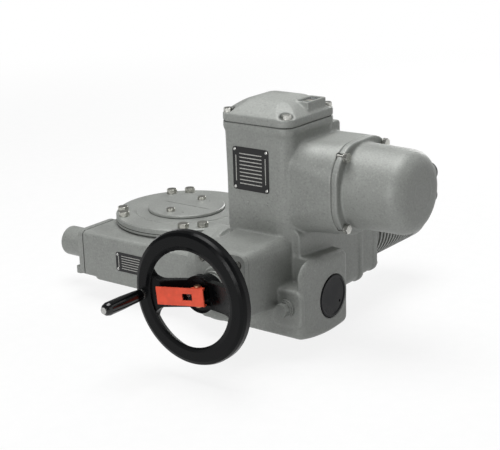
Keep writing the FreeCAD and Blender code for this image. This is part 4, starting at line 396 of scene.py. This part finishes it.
def black_coat(name, colour):
    """Smooth black coating with faint rubbed edges and finger marks."""
    finish = new_finish(name)
    soft = finish.rounded(0.0016, samples=6)
    smears = finish.noise(0.028, detail=5, roughness=0.6, stretch=(1, 1, 2))
    peel = finish.noise(0.0016, detail=2)
    patches = finish.between(finish.noise(0.006, detail=4), 0.50, 0.68)
    rubbed = finish.edges(soft) * patches
    tone = finish.mix(rubbed * 0.15, colour, screen(0.34, 0.34, 0.34))
    gloss = finish.between(smears, 0.35, 0.7, 0.17, 0.36)
    return finish.surface({"Base Color": tone, "Roughness": gloss, "Specular IOR Level": 0.13,
                           "Normal": finish.bump(peel, 0.00002, soft)})


def gloss_moulding(name, colour):
    """Polished plastic with a few dull scuffs."""
    finish = new_finish(name)
    streaks = finish.noise(0.004, detail=5, roughness=0.7, stretch=(1, 0.25, 1))
    scuffs = finish.between(streaks, 0.58, 0.72)
    tone = finish.mix(scuffs * 0.25, colour, screen(0.20, 0.20, 0.21))
    return finish.surface({"Base Color": tone, "Roughness": scuffs * 0.25 + 0.14,
                           "Normal": finish.bump(scuffs, 0.00001, finish.rounded(0.0008))})


def dull_moulding(name, colour, roughness=0.5):
    """Moulded plastic with an even fine grain."""
    finish = new_finish(name)
    cells = finish.noise(0.0009, detail=2)
    clouds = finish.noise(0.02, detail=4)
    tone = finish.mix(finish.between(clouds, 0.3, 0.7), scaled(colour, 0.85),
                      scaled(colour, 1.15))
    gloss = finish.between(clouds, 0.3, 0.7, roughness - 0.1, roughness + 0.08)
    return finish.surface({"Base Color": tone, "Roughness": gloss, "Specular IOR Level": 0.15,
                           "Normal": finish.bump(cells, 0.00004, finish.rounded(0.0006))})


def lever_coat(name, colour):
    """Orange powder coat, pale where thumbs and edges rub."""
    finish = new_finish(name)
    soft = finish.rounded(0.0008)
    grain = finish.noise(0.0011, detail=2)
    clouds = finish.noise(0.012, detail=4)
    tone = finish.mix(finish.between(clouds, 0.35, 0.7), scaled(colour, 0.90),
                      scaled(colour, 1.08))
    patches = finish.between(finish.noise(0.004, detail=4), 0.45, 0.6)
    rubbed = finish.edges(soft) * patches
    worn = finish.mix(rubbed * 0.5, tone, screen(0.95, 0.62, 0.50))
    return finish.surface({"Base Color": worn, "Roughness": clouds * 0.2 + 0.34,
                           "Normal": finish.bump(grain, 0.00004, soft)})


def bronze(name, colour):
    """Machined bronze with turning marks and a slightly darker film."""
    finish = new_finish(name)
    film = finish.noise(0.015, detail=5, roughness=0.6)
    marks = finish.noise(0.0008)
    tone = finish.mix(finish.between(film, 0.35, 0.65), scaled(colour, 0.65), colour)
    return finish.surface({"Base Color": tone, "Metallic": 1.0,
                           "Roughness": finish.between(marks, 0.3, 0.7, 0.26, 0.44),
                           "Normal": finish.bump(marks, 0.00002)})


def winding(name, colour, pitch=0.0016):
    """Enamelled copper turns that run round the motor's axis, which lies along Y, with painted
    shade between the turns.
    """
    finish = new_finish(name)
    along = finish.axes()[1]
    ridge = abs((along / pitch) % 1.0 - 0.5) * 2.0
    # Painted shade: the colour darkens in the valleys between the turns.
    tone = finish.mix(ridge, scaled(colour, 0.4), colour)
    return finish.surface({"Base Color": tone, "Metallic": 0.8, "Roughness": ridge * 0.2 + 0.25,
                           "Normal": finish.bump(ridge, 0.0004)})


def soft_rubber(name):
    """Black rubber with a little pale dust on it."""
    finish = new_finish(name)
    dust = finish.noise(0.003, detail=4)
    tone = finish.mix(finish.between(dust, 0.5, 0.75), screen(0.13, 0.13, 0.13),
                      screen(0.25, 0.25, 0.24))
    return finish.surface({"Base Color": tone, "Roughness": dust * 0.2 + 0.62,
                           "Normal": finish.bump(dust, 0.00005)})


def clear_glass(name):
    """Window glass with a faint film that makes its gloss uneven."""
    finish = new_finish(name)
    film = finish.noise(0.01, detail=4)
    return finish.surface({"Base Color": screen(0.90, 0.93, 0.92), "Transmission Weight": 1.0,
                           "IOR": 1.45, "Roughness": finish.between(film, 0.4, 0.8, 0.02, 0.12)})


def ruled_plate(name, node, paint, rows):
    """Anodised plate with plain ruled rows and an upright rule at each side."""
    # Shares of the plate's half height or half width, and a row's half height as a share of
    # its pitch
    rows_tall, rows_wide, row_half = 0.78, 0.62, 0.13
    side_place, side_half, side_tall = 0.82, 0.02, 0.60
    finish = new_finish(name)
    low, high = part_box(node)
    middle, half = (low + high) / 2, (high - low) / 2
    across, _, up = finish.axes()
    pitch = 2 * half.z * rows_tall / rows
    bottom = middle.z - half.z * rows_tall
    row_phase = ((up - bottom) / pitch) % 1.0
    rule = within(row_phase, 0.5, row_half) * within(up, middle.z, half.z * rows_tall)
    rule = rule * within(across, middle.x, half.x * rows_wide)
    sides = within(abs(across - middle.x), half.x * side_place, half.x * side_half)
    sides = sides * within(up, middle.z, half.z * side_tall)
    ink = finish.between(finish.noise(0.0012), 0.30, 0.55, 0.45, 1.0)
    lines = finish.maths("MAXIMUM", rule, sides) * ink
    streaks = finish.noise(0.003, detail=5, roughness=0.7, stretch=(1, 1, 0.2))
    scratches = finish.between(streaks, 0.58, 0.75)
    ground = finish.mix(scratches * 0.25, paint.plate, screen(0.30, 0.30, 0.30))
    return finish.surface({"Base Color": finish.mix(lines, ground, paint.line),
                           "Metallic": 0.2, "Roughness": scratches * 0.2 + 0.34,
                           "Normal": finish.bump(lines, 0.00005, finish.rounded(0.0004))})


def dial_face(name, node, ticks):
    """Pale dial with plain marks round its edge and one red arc."""
    # Shares of the radius from which the marks run and to which the arc reaches, and a mark's
    # half width as a share of its pitch
    band_start, arc_reach, tick_half = 0.66, 0.80, 0.16
    # The arc's two ends, in radians
    arc_from, arc_to = 0.4, 2.2
    finish = new_finish(name)
    low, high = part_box(node)
    middle = (low + high) / 2
    radius = (high.x - low.x) / 2
    across, along, _ = finish.axes()
    right, ahead = across - middle.x, along - middle.y
    angle = finish.maths("ARCTAN2", ahead, right)
    reach = finish.maths("SQRT", right * right + ahead * ahead)
    band = reach > radius * band_start
    tick_phase = ((angle + math.pi) * (ticks / (2 * math.pi))) % 1.0
    tick = within(tick_phase, 0.5, tick_half) * band
    arc = band * (reach < radius * arc_reach) * (angle > arc_from) * (angle < arc_to)
    pale = finish.mix(finish.noise(0.004), screen(0.86, 0.82, 0.70), screen(0.93, 0.91, 0.82))
    marked = finish.mix(tick, pale, screen(0.10, 0.10, 0.10))
    return finish.surface({"Base Color": finish.mix(arc, marked, screen(0.80, 0.16, 0.12)),
                           "Roughness": finish.noise(0.003) * 0.2 + 0.35})


WHITE = (1.0, 1.0, 1.0, 1.0)


def floor_finish(name):
    """Pale floor that takes the object's shadow, and is whiter with the distance.

    Camera, glossy and transmission rays see it so, and other rays meet a grey floor, which
    returns less light to the object.
    """
    near, far, near_glow = 1.0, 2.6, 0.85
    finish = new_finish(name)
    speck = finish.noise(0.02)
    tone = finish.mix(finish.between(speck, 0.3, 0.7), screen(0.96, 0.965, 0.965),
                      screen(0.99, 0.99, 0.99))
    pale = finish.add("BsdfPrincipled", None, {"Base Color": tone, "Roughness": 0.8})
    grey = finish.add("BsdfPrincipled", None, {"Base Color": opaque(screen(0.64, 0.64, 0.64)),
                                               "Roughness": 0.8})
    glow = finish.add("Emission", None, {"Color": WHITE, "Strength": 1.0})
    camera, glossy, transmission = (
        finish.add("LightPath", output=f"Is {ray} Ray")
        for ray in ("Camera", "Glossy", "Transmission"))
    seen = finish.maths("MINIMUM", camera + glossy + transmission, 1.0)
    across, along, _ = finish.axes()
    reach = finish.maths("SQRT", across * across + along * along)
    share = finish.between(reach, near, far, near_glow, 1.0)
    return finish.close(finish.blend(seen, grey, finish.blend(share, pale, glow)))


# Pieces on the frame

def slot_of(node):
    """Material slot that the record gives a node."""
    return next(part["material_slot"] for part in frame["record"]["subparts"]
                if part["node"] == node)


def body_of(node):
    """Body that a node belongs to."""
    return next(body for body, nodes in frame["record"]["behaviour"]["bodies"].items()
                if node in nodes)


def dress(piece, material):
    """Puts the material in every slot of the piece."""
    if not piece.material_slots:
        piece.data.materials.append(material)
    for slot in piece.material_slots:
        slot.material = material


def dress_nodes(nodes, material):
    """Puts the material on CAD nodes, given by name."""
    for node in nodes:
        dress(frame["nodes"][node], material)


def new_piece(name, mesh, body, slot, material):
    """Adds a piece that rides on a body and wears the material."""
    piece = bpy.data.objects.new(name, mesh)
    bpy.context.scene.collection.objects.link(piece)
    dress(piece, material)
    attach(piece, body)
    return piece


# Meshes

def mesh_from(work, name):
    """Mesh of a bmesh, which is freed."""
    mesh = bpy.data.meshes.new(name)
    work.to_mesh(mesh)
    work.free()
    return mesh


def shade_smooth(mesh):
    """Smooth shading on every face."""
    for face in mesh.polygons:
        face.use_smooth = True


def welded_copy(node):
    """Mesh of a frame node with its doubled seam points merged."""
    work = bmesh.new()
    work.from_mesh(frame["nodes"][node].data)
    bmesh.ops.remove_doubles(work, verts=work.verts, dist=0.000002)
    return mesh_from(work, node + "_copy")


def cast_skin(node, name, voxel, rounds, kept, material):
    """Casting with its edges and corners run together, as a sand mould leaves them."""
    draft = bpy.data.objects.new(name + "_draft", welded_copy(node))
    bpy.context.scene.collection.objects.link(draft)
    remesh = draft.modifiers.new("step", "REMESH")
    remesh.mode = "VOXEL"
    remesh.voxel_size = voxel
    remesh.adaptivity = 0.0
    smooth = draft.modifiers.new("soften", "SMOOTH")
    smooth.factor = 0.5
    smooth.iterations = rounds
    thin = draft.modifiers.new("thin", "DECIMATE")
    thin.ratio = kept
    evaluated = draft.evaluated_get(bpy.context.evaluated_depsgraph_get())
    mesh = bpy.data.meshes.new_from_object(evaluated)
    mesh.name = name
    bpy.data.objects.remove(draft)
    mesh.materials.clear()
    shade_smooth(mesh)
    piece = new_piece(name, mesh, body_of(node), slot_of(node), material)
    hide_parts(node)
    return piece


def surface_point(piece, start, direction):
    """First point of the piece's mesh that a ray meets, and its normal."""
    hit, place, normal, _ = piece.ray_cast(Vector(start), Vector(direction))
    if not hit:
        raise RuntimeError(f"no surface of {piece.name} from {start}")
    return place, normal


def circle(radius, level, sides):
    """Points of a level circle round the origin's upright axis."""
    turns = [2 * math.pi * side / sides for side in range(sides)]
    return [Vector((radius * math.cos(turn), radius * math.sin(turn), level)) for turn in turns]


def join_loops(work, first, second):
    """Faces between two closed loops of as many points."""
    for side in range(len(first)):
        after = (side + 1) % len(first)
        work.faces.new((first[side], first[after], second[after], second[side]))


def dome_mesh(name, places, radius, height, sides=16, levels=4):
    """Low round marks that stand on a surface, each given as its place and normal."""
    # Share of a full dome's narrowing that the top loop reaches, and of the height sunk in
    narrowing, sunk = 0.97, 0.3
    work = bmesh.new()
    for place, normal in places:
        turn = normal.to_track_quat("Z", "Y")
        loops = []
        for level in range(levels):
            lift = level / (levels - 1)
            width = radius * math.sqrt(1 - narrowing * lift * lift)
            loops.append([work.verts.new(place + turn @ point)
                          for point in circle(width, height * (lift - sunk), sides)])
        for low, high in zip(loops, loops[1:]):
            join_loops(work, low, high)
        work.faces.new(loops[-1])
        work.faces.new(list(reversed(loops[0])))
    mesh = mesh_from(work, name)
    shade_smooth(mesh)
    return mesh


def ring_mesh(name, inside, outside, low, high):
    """Flat ring from a level low to a level high, between two loops of x and y."""
    work = bmesh.new()
    loops = [[work.verts.new((*point.xy, level)) for point in loop]
             for loop, level in ((inside, low), (outside, low), (outside, high), (inside, high))]
    for loop, next_loop in zip(loops, loops[1:] + loops[:1]):
        join_loops(work, loop, next_loop)
    return mesh_from(work, name)


def reach_to_edge(ray, centre, low, high):
    """How far a level ray from centre goes until it leaves the rectangle low to high."""
    tiny = 1e-9
    across = (high.x if ray.x > 0 else low.x) - centre.x
    along = (high.y if ray.y > 0 else low.y) - centre.y
    return min(abs(across / (ray.x or tiny)), abs(along / (ray.y or tiny)))


def holed_plate(name, low, high, centre, radius, sides=48):
    """Flat rectangular plate with a round hole."""
    rays = circle(1.0, 0.0, sides)
    hole = [centre + ray * radius for ray in rays]
    rim = [centre + ray * reach_to_edge(ray, centre, low, high) for ray in rays]
    for corner in (Vector((x, y)) for x in (low.x, high.x) for y in (low.y, high.y)):
        nearest = min(rim, key=lambda point: (point.xy - corner).length)
        nearest.xy = corner
    return ring_mesh(name, hole, rim, low.z, high.z)


# Operators

# Softened castings and covers by node: the skin's name, its step as a share of the usual one,
# and its rounds of smoothing
CASTINGS = {
    "drive_housing": ("drive_casting", 1.0, 6),
    "gear_housing": ("gear_casting", 1.0, 4),
    "motor_adapter": ("adapter_casting", 0.9, 5),
}
COVERS = {
    "control_cover": ("control_casting", 0.75, 7),
    "connector_cover": ("connector_casting", 0.8, 4),
}

# X and Z of the round marks on the front of the drive casting's neck
MARK_PLACES = ((0.2565, 0.190), (0.292, 0.192))


class ACTUATOR_OT_castings(bpy.types.Operator):
    """Makes the softened castings and covers and paints them"""
    bl_idname = "actuator.castings"
    bl_label = "Castings"

    def execute(self, context):
        paint, skin = context.scene.actuator_paint, context.scene.actuator_skin
        casting = cast_paint("casting_paint", paint.casting, paint)
        cover = cast_paint("cover_paint", paint.cover, paint, grain_share=0.7, roughness=0.52)
        for table, material in ((CASTINGS, casting), (COVERS, cover)):
            for node, (name, step, rounds) in table.items():
                cast_skin(node, name, skin.voxel * step, rounds, skin.kept, material)
        dress_nodes(("bearing_cover", "pointer_cover"),
                    cast_paint("gearbox_cover_paint", paint.cover, paint, grain_share=0.5,
                               roughness=0.42))
        dress_nodes(("motor_housing", "motor_end_cover", "boss_cover", "protective_cap",
                     "stop_plate"),
                    cast_paint("turned_paint", paint.casting, paint, grain_share=0.5,
                               roughness=0.42))
        return {"FINISHED"}


class ACTUATOR_OT_casting_marks(bpy.types.Operator):
    """Adds the small round marks that the mould's pins leave on the casting"""
    bl_idname = "actuator.casting_marks"
    bl_label = "Casting marks"

    def execute(self, context):
        paint, trim = context.scene.actuator_paint, context.scene.actuator_trim
        casting = bpy.data.objects["drive_casting"]
        in_front = cad_low.y - 0.1
        marks = [surface_point(casting, (x, in_front, z), (0, 1, 0)) for x, z in MARK_PLACES]
        mesh = dome_mesh("casting_marks", marks, trim.mark_radius, trim.mark_height)
        new_piece("casting_marks", mesh, body_of("drive_housing"), slot_of("drive_housing"),
                  cast_paint("mark_paint", paint.cover, paint, grain_share=0.5))
        return {"FINISHED"}


class ACTUATOR_OT_cover_joint(bpy.types.Operator):
    """Adds the dark joint line round the side of the gearbox cover"""
    bl_idname = "actuator.cover_joint"
    bl_label = "Cover joint"

    def execute(self, context):
        trim = context.scene.actuator_trim
        proud, depth, sides = 0.0001, 0.0010, 128
        low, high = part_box("bearing_cover")
        centre = (low + high) / 2
        radius = (high.x - low.x) / 2
        inside, outside = ([centre + point for point in circle(reach, 0.0, sides)]
                           for reach in (radius - depth, radius + proud))
        top = high.z - trim.joint_drop
        mesh = ring_mesh("cover_joint", inside, outside, top - trim.joint_height, top)
        new_piece("cover_joint", mesh, body_of("bearing_cover"), slot_of("lower_seal"),
                  soft_rubber("joint_rubber"))
        return {"FINISHED"}


class ACTUATOR_OT_screws(bpy.types.Operator):
    """Finishes the screws, the painted screw plug and the pins"""
    bl_idname = "actuator.screws"
    bl_label = "Screws"

    def execute(self, context):
        paint = context.scene.actuator_paint
        dress_nodes(("bearing_cover_screws", "pointer_screws", "stop_plate_screws"),
                    bright_steel("gearbox_screw", screen(0.72, 0.72, 0.69), roughness=0.36))
        dress_nodes(("control_cover_screws", "connector_screws", "motor_screws",
                     "boss_cover_screws", "input_flange_screws", "motor_end_screws"),
                    bright_steel("drive_screw", screen(0.76, 0.76, 0.74)))
        dress_nodes(("front_plug",),
                    cast_paint("plug_paint", paint.casting, paint, grain_share=0.4,
                               roughness=0.40))
        dress_nodes(("plate_pins", "hub_screw", "grip_pin"),
                    bright_steel("small_steel", screen(0.74, 0.74, 0.73), roughness=0.26))
        return {"FINISHED"}


class ACTUATOR_OT_handwheel(bpy.types.Operator):
    """Finishes the handwheel, its grip, shaft and changeover lever"""
    bl_idname = "actuator.handwheel"
    bl_label = "Handwheel"

    def execute(self, context):
        paint = context.scene.actuator_paint
        dress_nodes(("handwheel",), black_coat("wheel_coat", paint.wheel))
        dress_nodes(("grip",), gloss_moulding("grip_gloss", scaled(paint.wheel, 0.7)))
        dress_nodes(("changeover_lever",), lever_coat("lever_coat", paint.lever))
        dress_nodes(("lever_pin",), bronze("lever_pin_bronze", screen(0.80, 0.62, 0.50)))
        dress_nodes(("handwheel_shaft", "clutch_rod"),
                    bright_steel("shaft_steel", screen(0.66, 0.66, 0.66)))
        return {"FINISHED"}


class ACTUATOR_OT_plates(bpy.types.Operator):
    """Finishes the two dark plates with plain ruled lines"""
    bl_idname = "actuator.plates"
    bl_label = "Plates"

    def execute(self, context):
        paint = context.scene.actuator_paint
        for node, rows in (("rating_plate", 9), ("gearbox_plate", 6)):
            dress_nodes((node,), ruled_plate(node, node, paint, rows))
        return {"FINISHED"}


class ACTUATOR_OT_plugs(bpy.types.Operator):
    """Finishes the output plug and the plugs in the cable entries"""
    bl_idname = "actuator.plugs"
    bl_label = "Plugs"

    def execute(self, context):
        paint = context.scene.actuator_paint
        dress_nodes(("output_plug",),
                    dull_moulding("output_plug", scaled(paint.plug, 0.6), roughness=0.34))
        dress_nodes(("entry_plugs",), dull_moulding("entry_plugs", scaled(paint.plug, 0.8)))
        return {"FINISHED"}


class ACTUATOR_OT_window(bpy.types.Operator):
    """Finishes the indicator's glass and dial and adds the mask between them"""
    bl_idname = "actuator.window"
    bl_label = "Indicator window"

    def execute(self, context):
        trim = context.scene.actuator_trim
        dress_nodes(("window_glass",), clear_glass("window_glass"))
        dress_nodes(("indicator_disc",), dial_face("dial", "indicator_disc", trim.ticks))
        # The mask's gap inside the glass's outline, and its faces' depths below the glass
        side_gap, top_depth, bottom_depth = 0.0005, 0.0004, 0.0012
        glass_low, glass_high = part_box("window_glass")
        disc_low, disc_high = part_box("indicator_disc")
        low = glass_low + Vector((side_gap, side_gap, -bottom_depth))
        high = Vector((glass_high.x - side_gap, glass_high.y - side_gap,
                       glass_low.z - top_depth))
        mesh = holed_plate("dial_mask", low, high, (disc_low + disc_high) / 2,
                           (disc_high.x - disc_low.x) * trim.mask_hole)
        new_piece("dial_mask", mesh, body_of("window_glass"), slot_of("output_plug"),
                  dull_moulding("dial_mask", screen(0.10, 0.10, 0.11), roughness=0.55))
        return {"FINISHED"}


class ACTUATOR_OT_inner_parts(bpy.types.Operator):
    """Finishes the gears, shafts, bearings and electrical parts inside"""
    bl_idname = "actuator.inner_parts"
    bl_label = "Inner parts"

    def execute(self, context):
        dress_nodes(("worm_wheel", "drive_wheel", "wheel_bushes", "stop_nut"),
                    bronze("gear_bronze", screen(0.78, 0.62, 0.36)))
        dress_nodes(("gear_worm", "drive_worm", "hollow_shaft", "valve_coupling",
                     "motor_coupling", "motor_rotor", "stop_sleeve"),
                    bright_steel("ground_steel", screen(0.68, 0.68, 0.69), roughness=0.26))
        dress_nodes(("worm_bearings", "hollow_shaft_bearings", "drive_worm_bearings",
                     "motor_bearings", "disc_springs", "contact_pins"),
                    bright_steel("bearing_steel", screen(0.76, 0.76, 0.78), roughness=0.18))
        dress_nodes(("motor_stator",), winding("winding", screen(0.78, 0.46, 0.26)))
        dress_nodes(("lower_seal", "worm_seal"), soft_rubber("seal_rubber"))
        dress_nodes(("control_unit",),
                    bright_steel("frame_steel", screen(0.58, 0.58, 0.57), roughness=0.42))
        dress_nodes(("limit_switches", "socket_carrier"),
                    dull_moulding("insulation", screen(0.22, 0.22, 0.23), roughness=0.55))
        return {"FINISHED"}


# Stage

# Lamps: name, place from the object's middle, width of the disc, and the setting of its power
LAMPS = (
    ("overhead", (-0.1, 0.0, 2.15), 1.6, "top_power"),
    ("front", (0.4, -2.4, 0.4), 0.9, "side_power"),
    ("back", (-0.4, 2.4, 0.7), 0.9, "side_power"),
)

# The floor lies this far below the object. Its near and far ends are measured from the origin,
# and at the far end it curves up into a wall.
FLOOR_GAP = 0.001
FLOOR_HALF_WIDTH = 14.0
FLOOR_NEAR = -12.0
FLOOR_FAR = 9.0
CURVE_RADIUS = 3.0
CURVE_STEPS = 12
WALL_HEIGHT = 9.0

# The handwheel's centre and the pixel of the picture, 500 by 450, where it is seen
AIM = Vector((0.275, -0.332, 0.092))
AIM_PIXEL = (187.822, 299.772)
PICTURE = (500, 450)
SENSOR = 36.0


def add_lamp(name, place, target, size, power):
    """Round area lamp that faces the target."""
    lamp = bpy.data.lights.new(name, "AREA")
    lamp.shape = "DISK"
    lamp.size = size
    lamp.energy = power
    holder = bpy.data.objects.new(name, lamp)
    holder.location = place
    holder.rotation_euler = (target - place).to_track_quat("-Z", "Y").to_euler()
    bpy.context.scene.collection.objects.link(holder)


def add_sky(strength):
    """Even light all round, which is plain white where the camera or glass looks at it."""
    finish = Finish(bpy.data.worlds.new("sky"))
    camera = finish.add("LightPath", output="Is Camera Ray")
    transmission = finish.add("LightPath", output="Is Transmission Ray")
    seen = finish.maths("MAXIMUM", camera, transmission)
    light = finish.add("Background", None, {"Color": WHITE, "Strength": strength})
    white = finish.add("Background", None, {"Color": WHITE, "Strength": 1.0})
    bpy.context.scene.world = finish.close(finish.blend(seen, light, white), "OutputWorld")


def add_floor(level, azimuth):
    """Wide floor that curves up into a wall far from the object."""
    profile = [(FLOOR_NEAR, level), (FLOOR_FAR, level)]
    for step in range(1, CURVE_STEPS + 1):
        angle = math.pi / 2 * step / CURVE_STEPS
        profile.append((FLOOR_FAR + CURVE_RADIUS * math.sin(angle),
                        level + CURVE_RADIUS * (1 - math.cos(angle))))
    profile.append((FLOOR_FAR + CURVE_RADIUS, level + CURVE_RADIUS + WALL_HEIGHT))
    turned = Matrix.Rotation(-azimuth, 3, "Z")
    work = bmesh.new()
    rows = [[work.verts.new(turned @ Vector((side, along, height)))
             for side in (-FLOOR_HALF_WIDTH, FLOOR_HALF_WIDTH)] for along, height in profile]
    for near, far in zip(rows, rows[1:]):
        work.faces.new((near[0], near[1], far[1], far[0]))
    mesh = mesh_from(work, "floor")
    shade_smooth(mesh)
    floor = bpy.data.objects.new("floor", mesh)
    bpy.context.scene.collection.objects.link(floor)
    dress(floor, floor_finish("floor"))


def add_camera(stage):
    """Camera that sees the handwheel's centre at its pixel, from the given direction."""
    azimuth, elevation = stage.azimuth, stage.elevation
    back = Vector((math.sin(azimuth) * math.cos(elevation),
                   -math.cos(azimuth) * math.cos(elevation), math.sin(elevation)))
    level = Vector((math.cos(azimuth), math.sin(azimuth), 0))
    right = level * math.cos(stage.roll) - back.cross(level) * math.sin(stage.roll)
    up = back.cross(right)
    per_pixel = SENSOR / stage.lens / PICTURE[0] * stage.distance
    offset = (right * ((AIM_PIXEL[0] - PICTURE[0] / 2) * per_pixel)
              + up * ((PICTURE[1] / 2 - AIM_PIXEL[1]) * per_pixel))
    camera = bpy.data.cameras.new("camera")
    camera.lens = stage.lens
    camera.sensor_width = SENSOR
    camera.clip_start = 0.05
    camera.clip_end = 60.0
    holder = bpy.data.objects.new("camera", camera)
    turned = Matrix((right, up, back)).transposed().to_4x4()
    holder.matrix_world = Matrix.Translation(AIM + back * stage.distance - offset) @ turned
    bpy.context.scene.collection.objects.link(holder)
    bpy.context.scene.camera = holder


class ACTUATOR_OT_stage(bpy.types.Operator):
    """Sets the floor, the lamps, the sky and the camera"""
    bl_idname = "actuator.stage"
    bl_label = "Stage"

    def execute(self, context):
        stage = context.scene.actuator_stage
        context.scene.view_settings.view_transform = "Standard"
        centre = (cad_low + cad_high) / 2
        add_floor(cad_low.z - FLOOR_GAP, stage.azimuth)
        add_sky(stage.sky)
        for name, place, size, power in LAMPS:
            add_lamp(name, centre + Vector(place), centre, size, getattr(stage, power))
        add_camera(stage)
        return {"FINISHED"}


# Registration

STEPS = (ACTUATOR_OT_castings, ACTUATOR_OT_casting_marks, ACTUATOR_OT_cover_joint,
         ACTUATOR_OT_screws, ACTUATOR_OT_handwheel, ACTUATOR_OT_plates, ACTUATOR_OT_plugs,
         ACTUATOR_OT_window, ACTUATOR_OT_inner_parts, ACTUATOR_OT_stage)


class ACTUATOR_PT_sidebar(bpy.types.Panel):
    """Lists the steps in the order in which they run, and then the settings"""
    bl_idname = "ACTUATOR_PT_sidebar"
    bl_label = "Actuator"
    bl_space_type = "VIEW_3D"
    bl_region_type = "UI"
    bl_category = "Actuator"

    def draw(self, context):
        for step in STEPS:
            self.layout.operator(step.bl_idname)
        scene = context.scene
        for settings in (scene.actuator_paint, scene.actuator_skin, scene.actuator_trim,
                         scene.actuator_stage):
            for name in settings.bl_rna.properties.keys():
                if name not in ("rna_type", "name"):
                    self.layout.prop(settings, name)


CLASSES = (ActuatorPaint, ActuatorSkin, ActuatorTrim, ActuatorStage, *STEPS,
           ACTUATOR_PT_sidebar)


def register():
    """Registers the classes and gives each scene their settings."""
    for made in CLASSES:
        bpy.utils.register_class(made)
    bpy.types.Scene.actuator_paint = PointerProperty(type=ActuatorPaint)
    bpy.types.Scene.actuator_skin = PointerProperty(type=ActuatorSkin)
    bpy.types.Scene.actuator_trim = PointerProperty(type=ActuatorTrim)
    bpy.types.Scene.actuator_stage = PointerProperty(type=ActuatorStage)


def unregister():
    """Takes away what register added."""
    del bpy.types.Scene.actuator_stage
    del bpy.types.Scene.actuator_trim
    del bpy.types.Scene.actuator_skin
    del bpy.types.Scene.actuator_paint
    for made in reversed(CLASSES):
        bpy.utils.unregister_class(made)


def main():
    """Runs every step in order."""
    register()
    for step in STEPS:
        group, name = step.bl_idname.split(".")
        getattr(getattr(bpy.ops, group), name)()


if __name__ == "__main__":
    main()
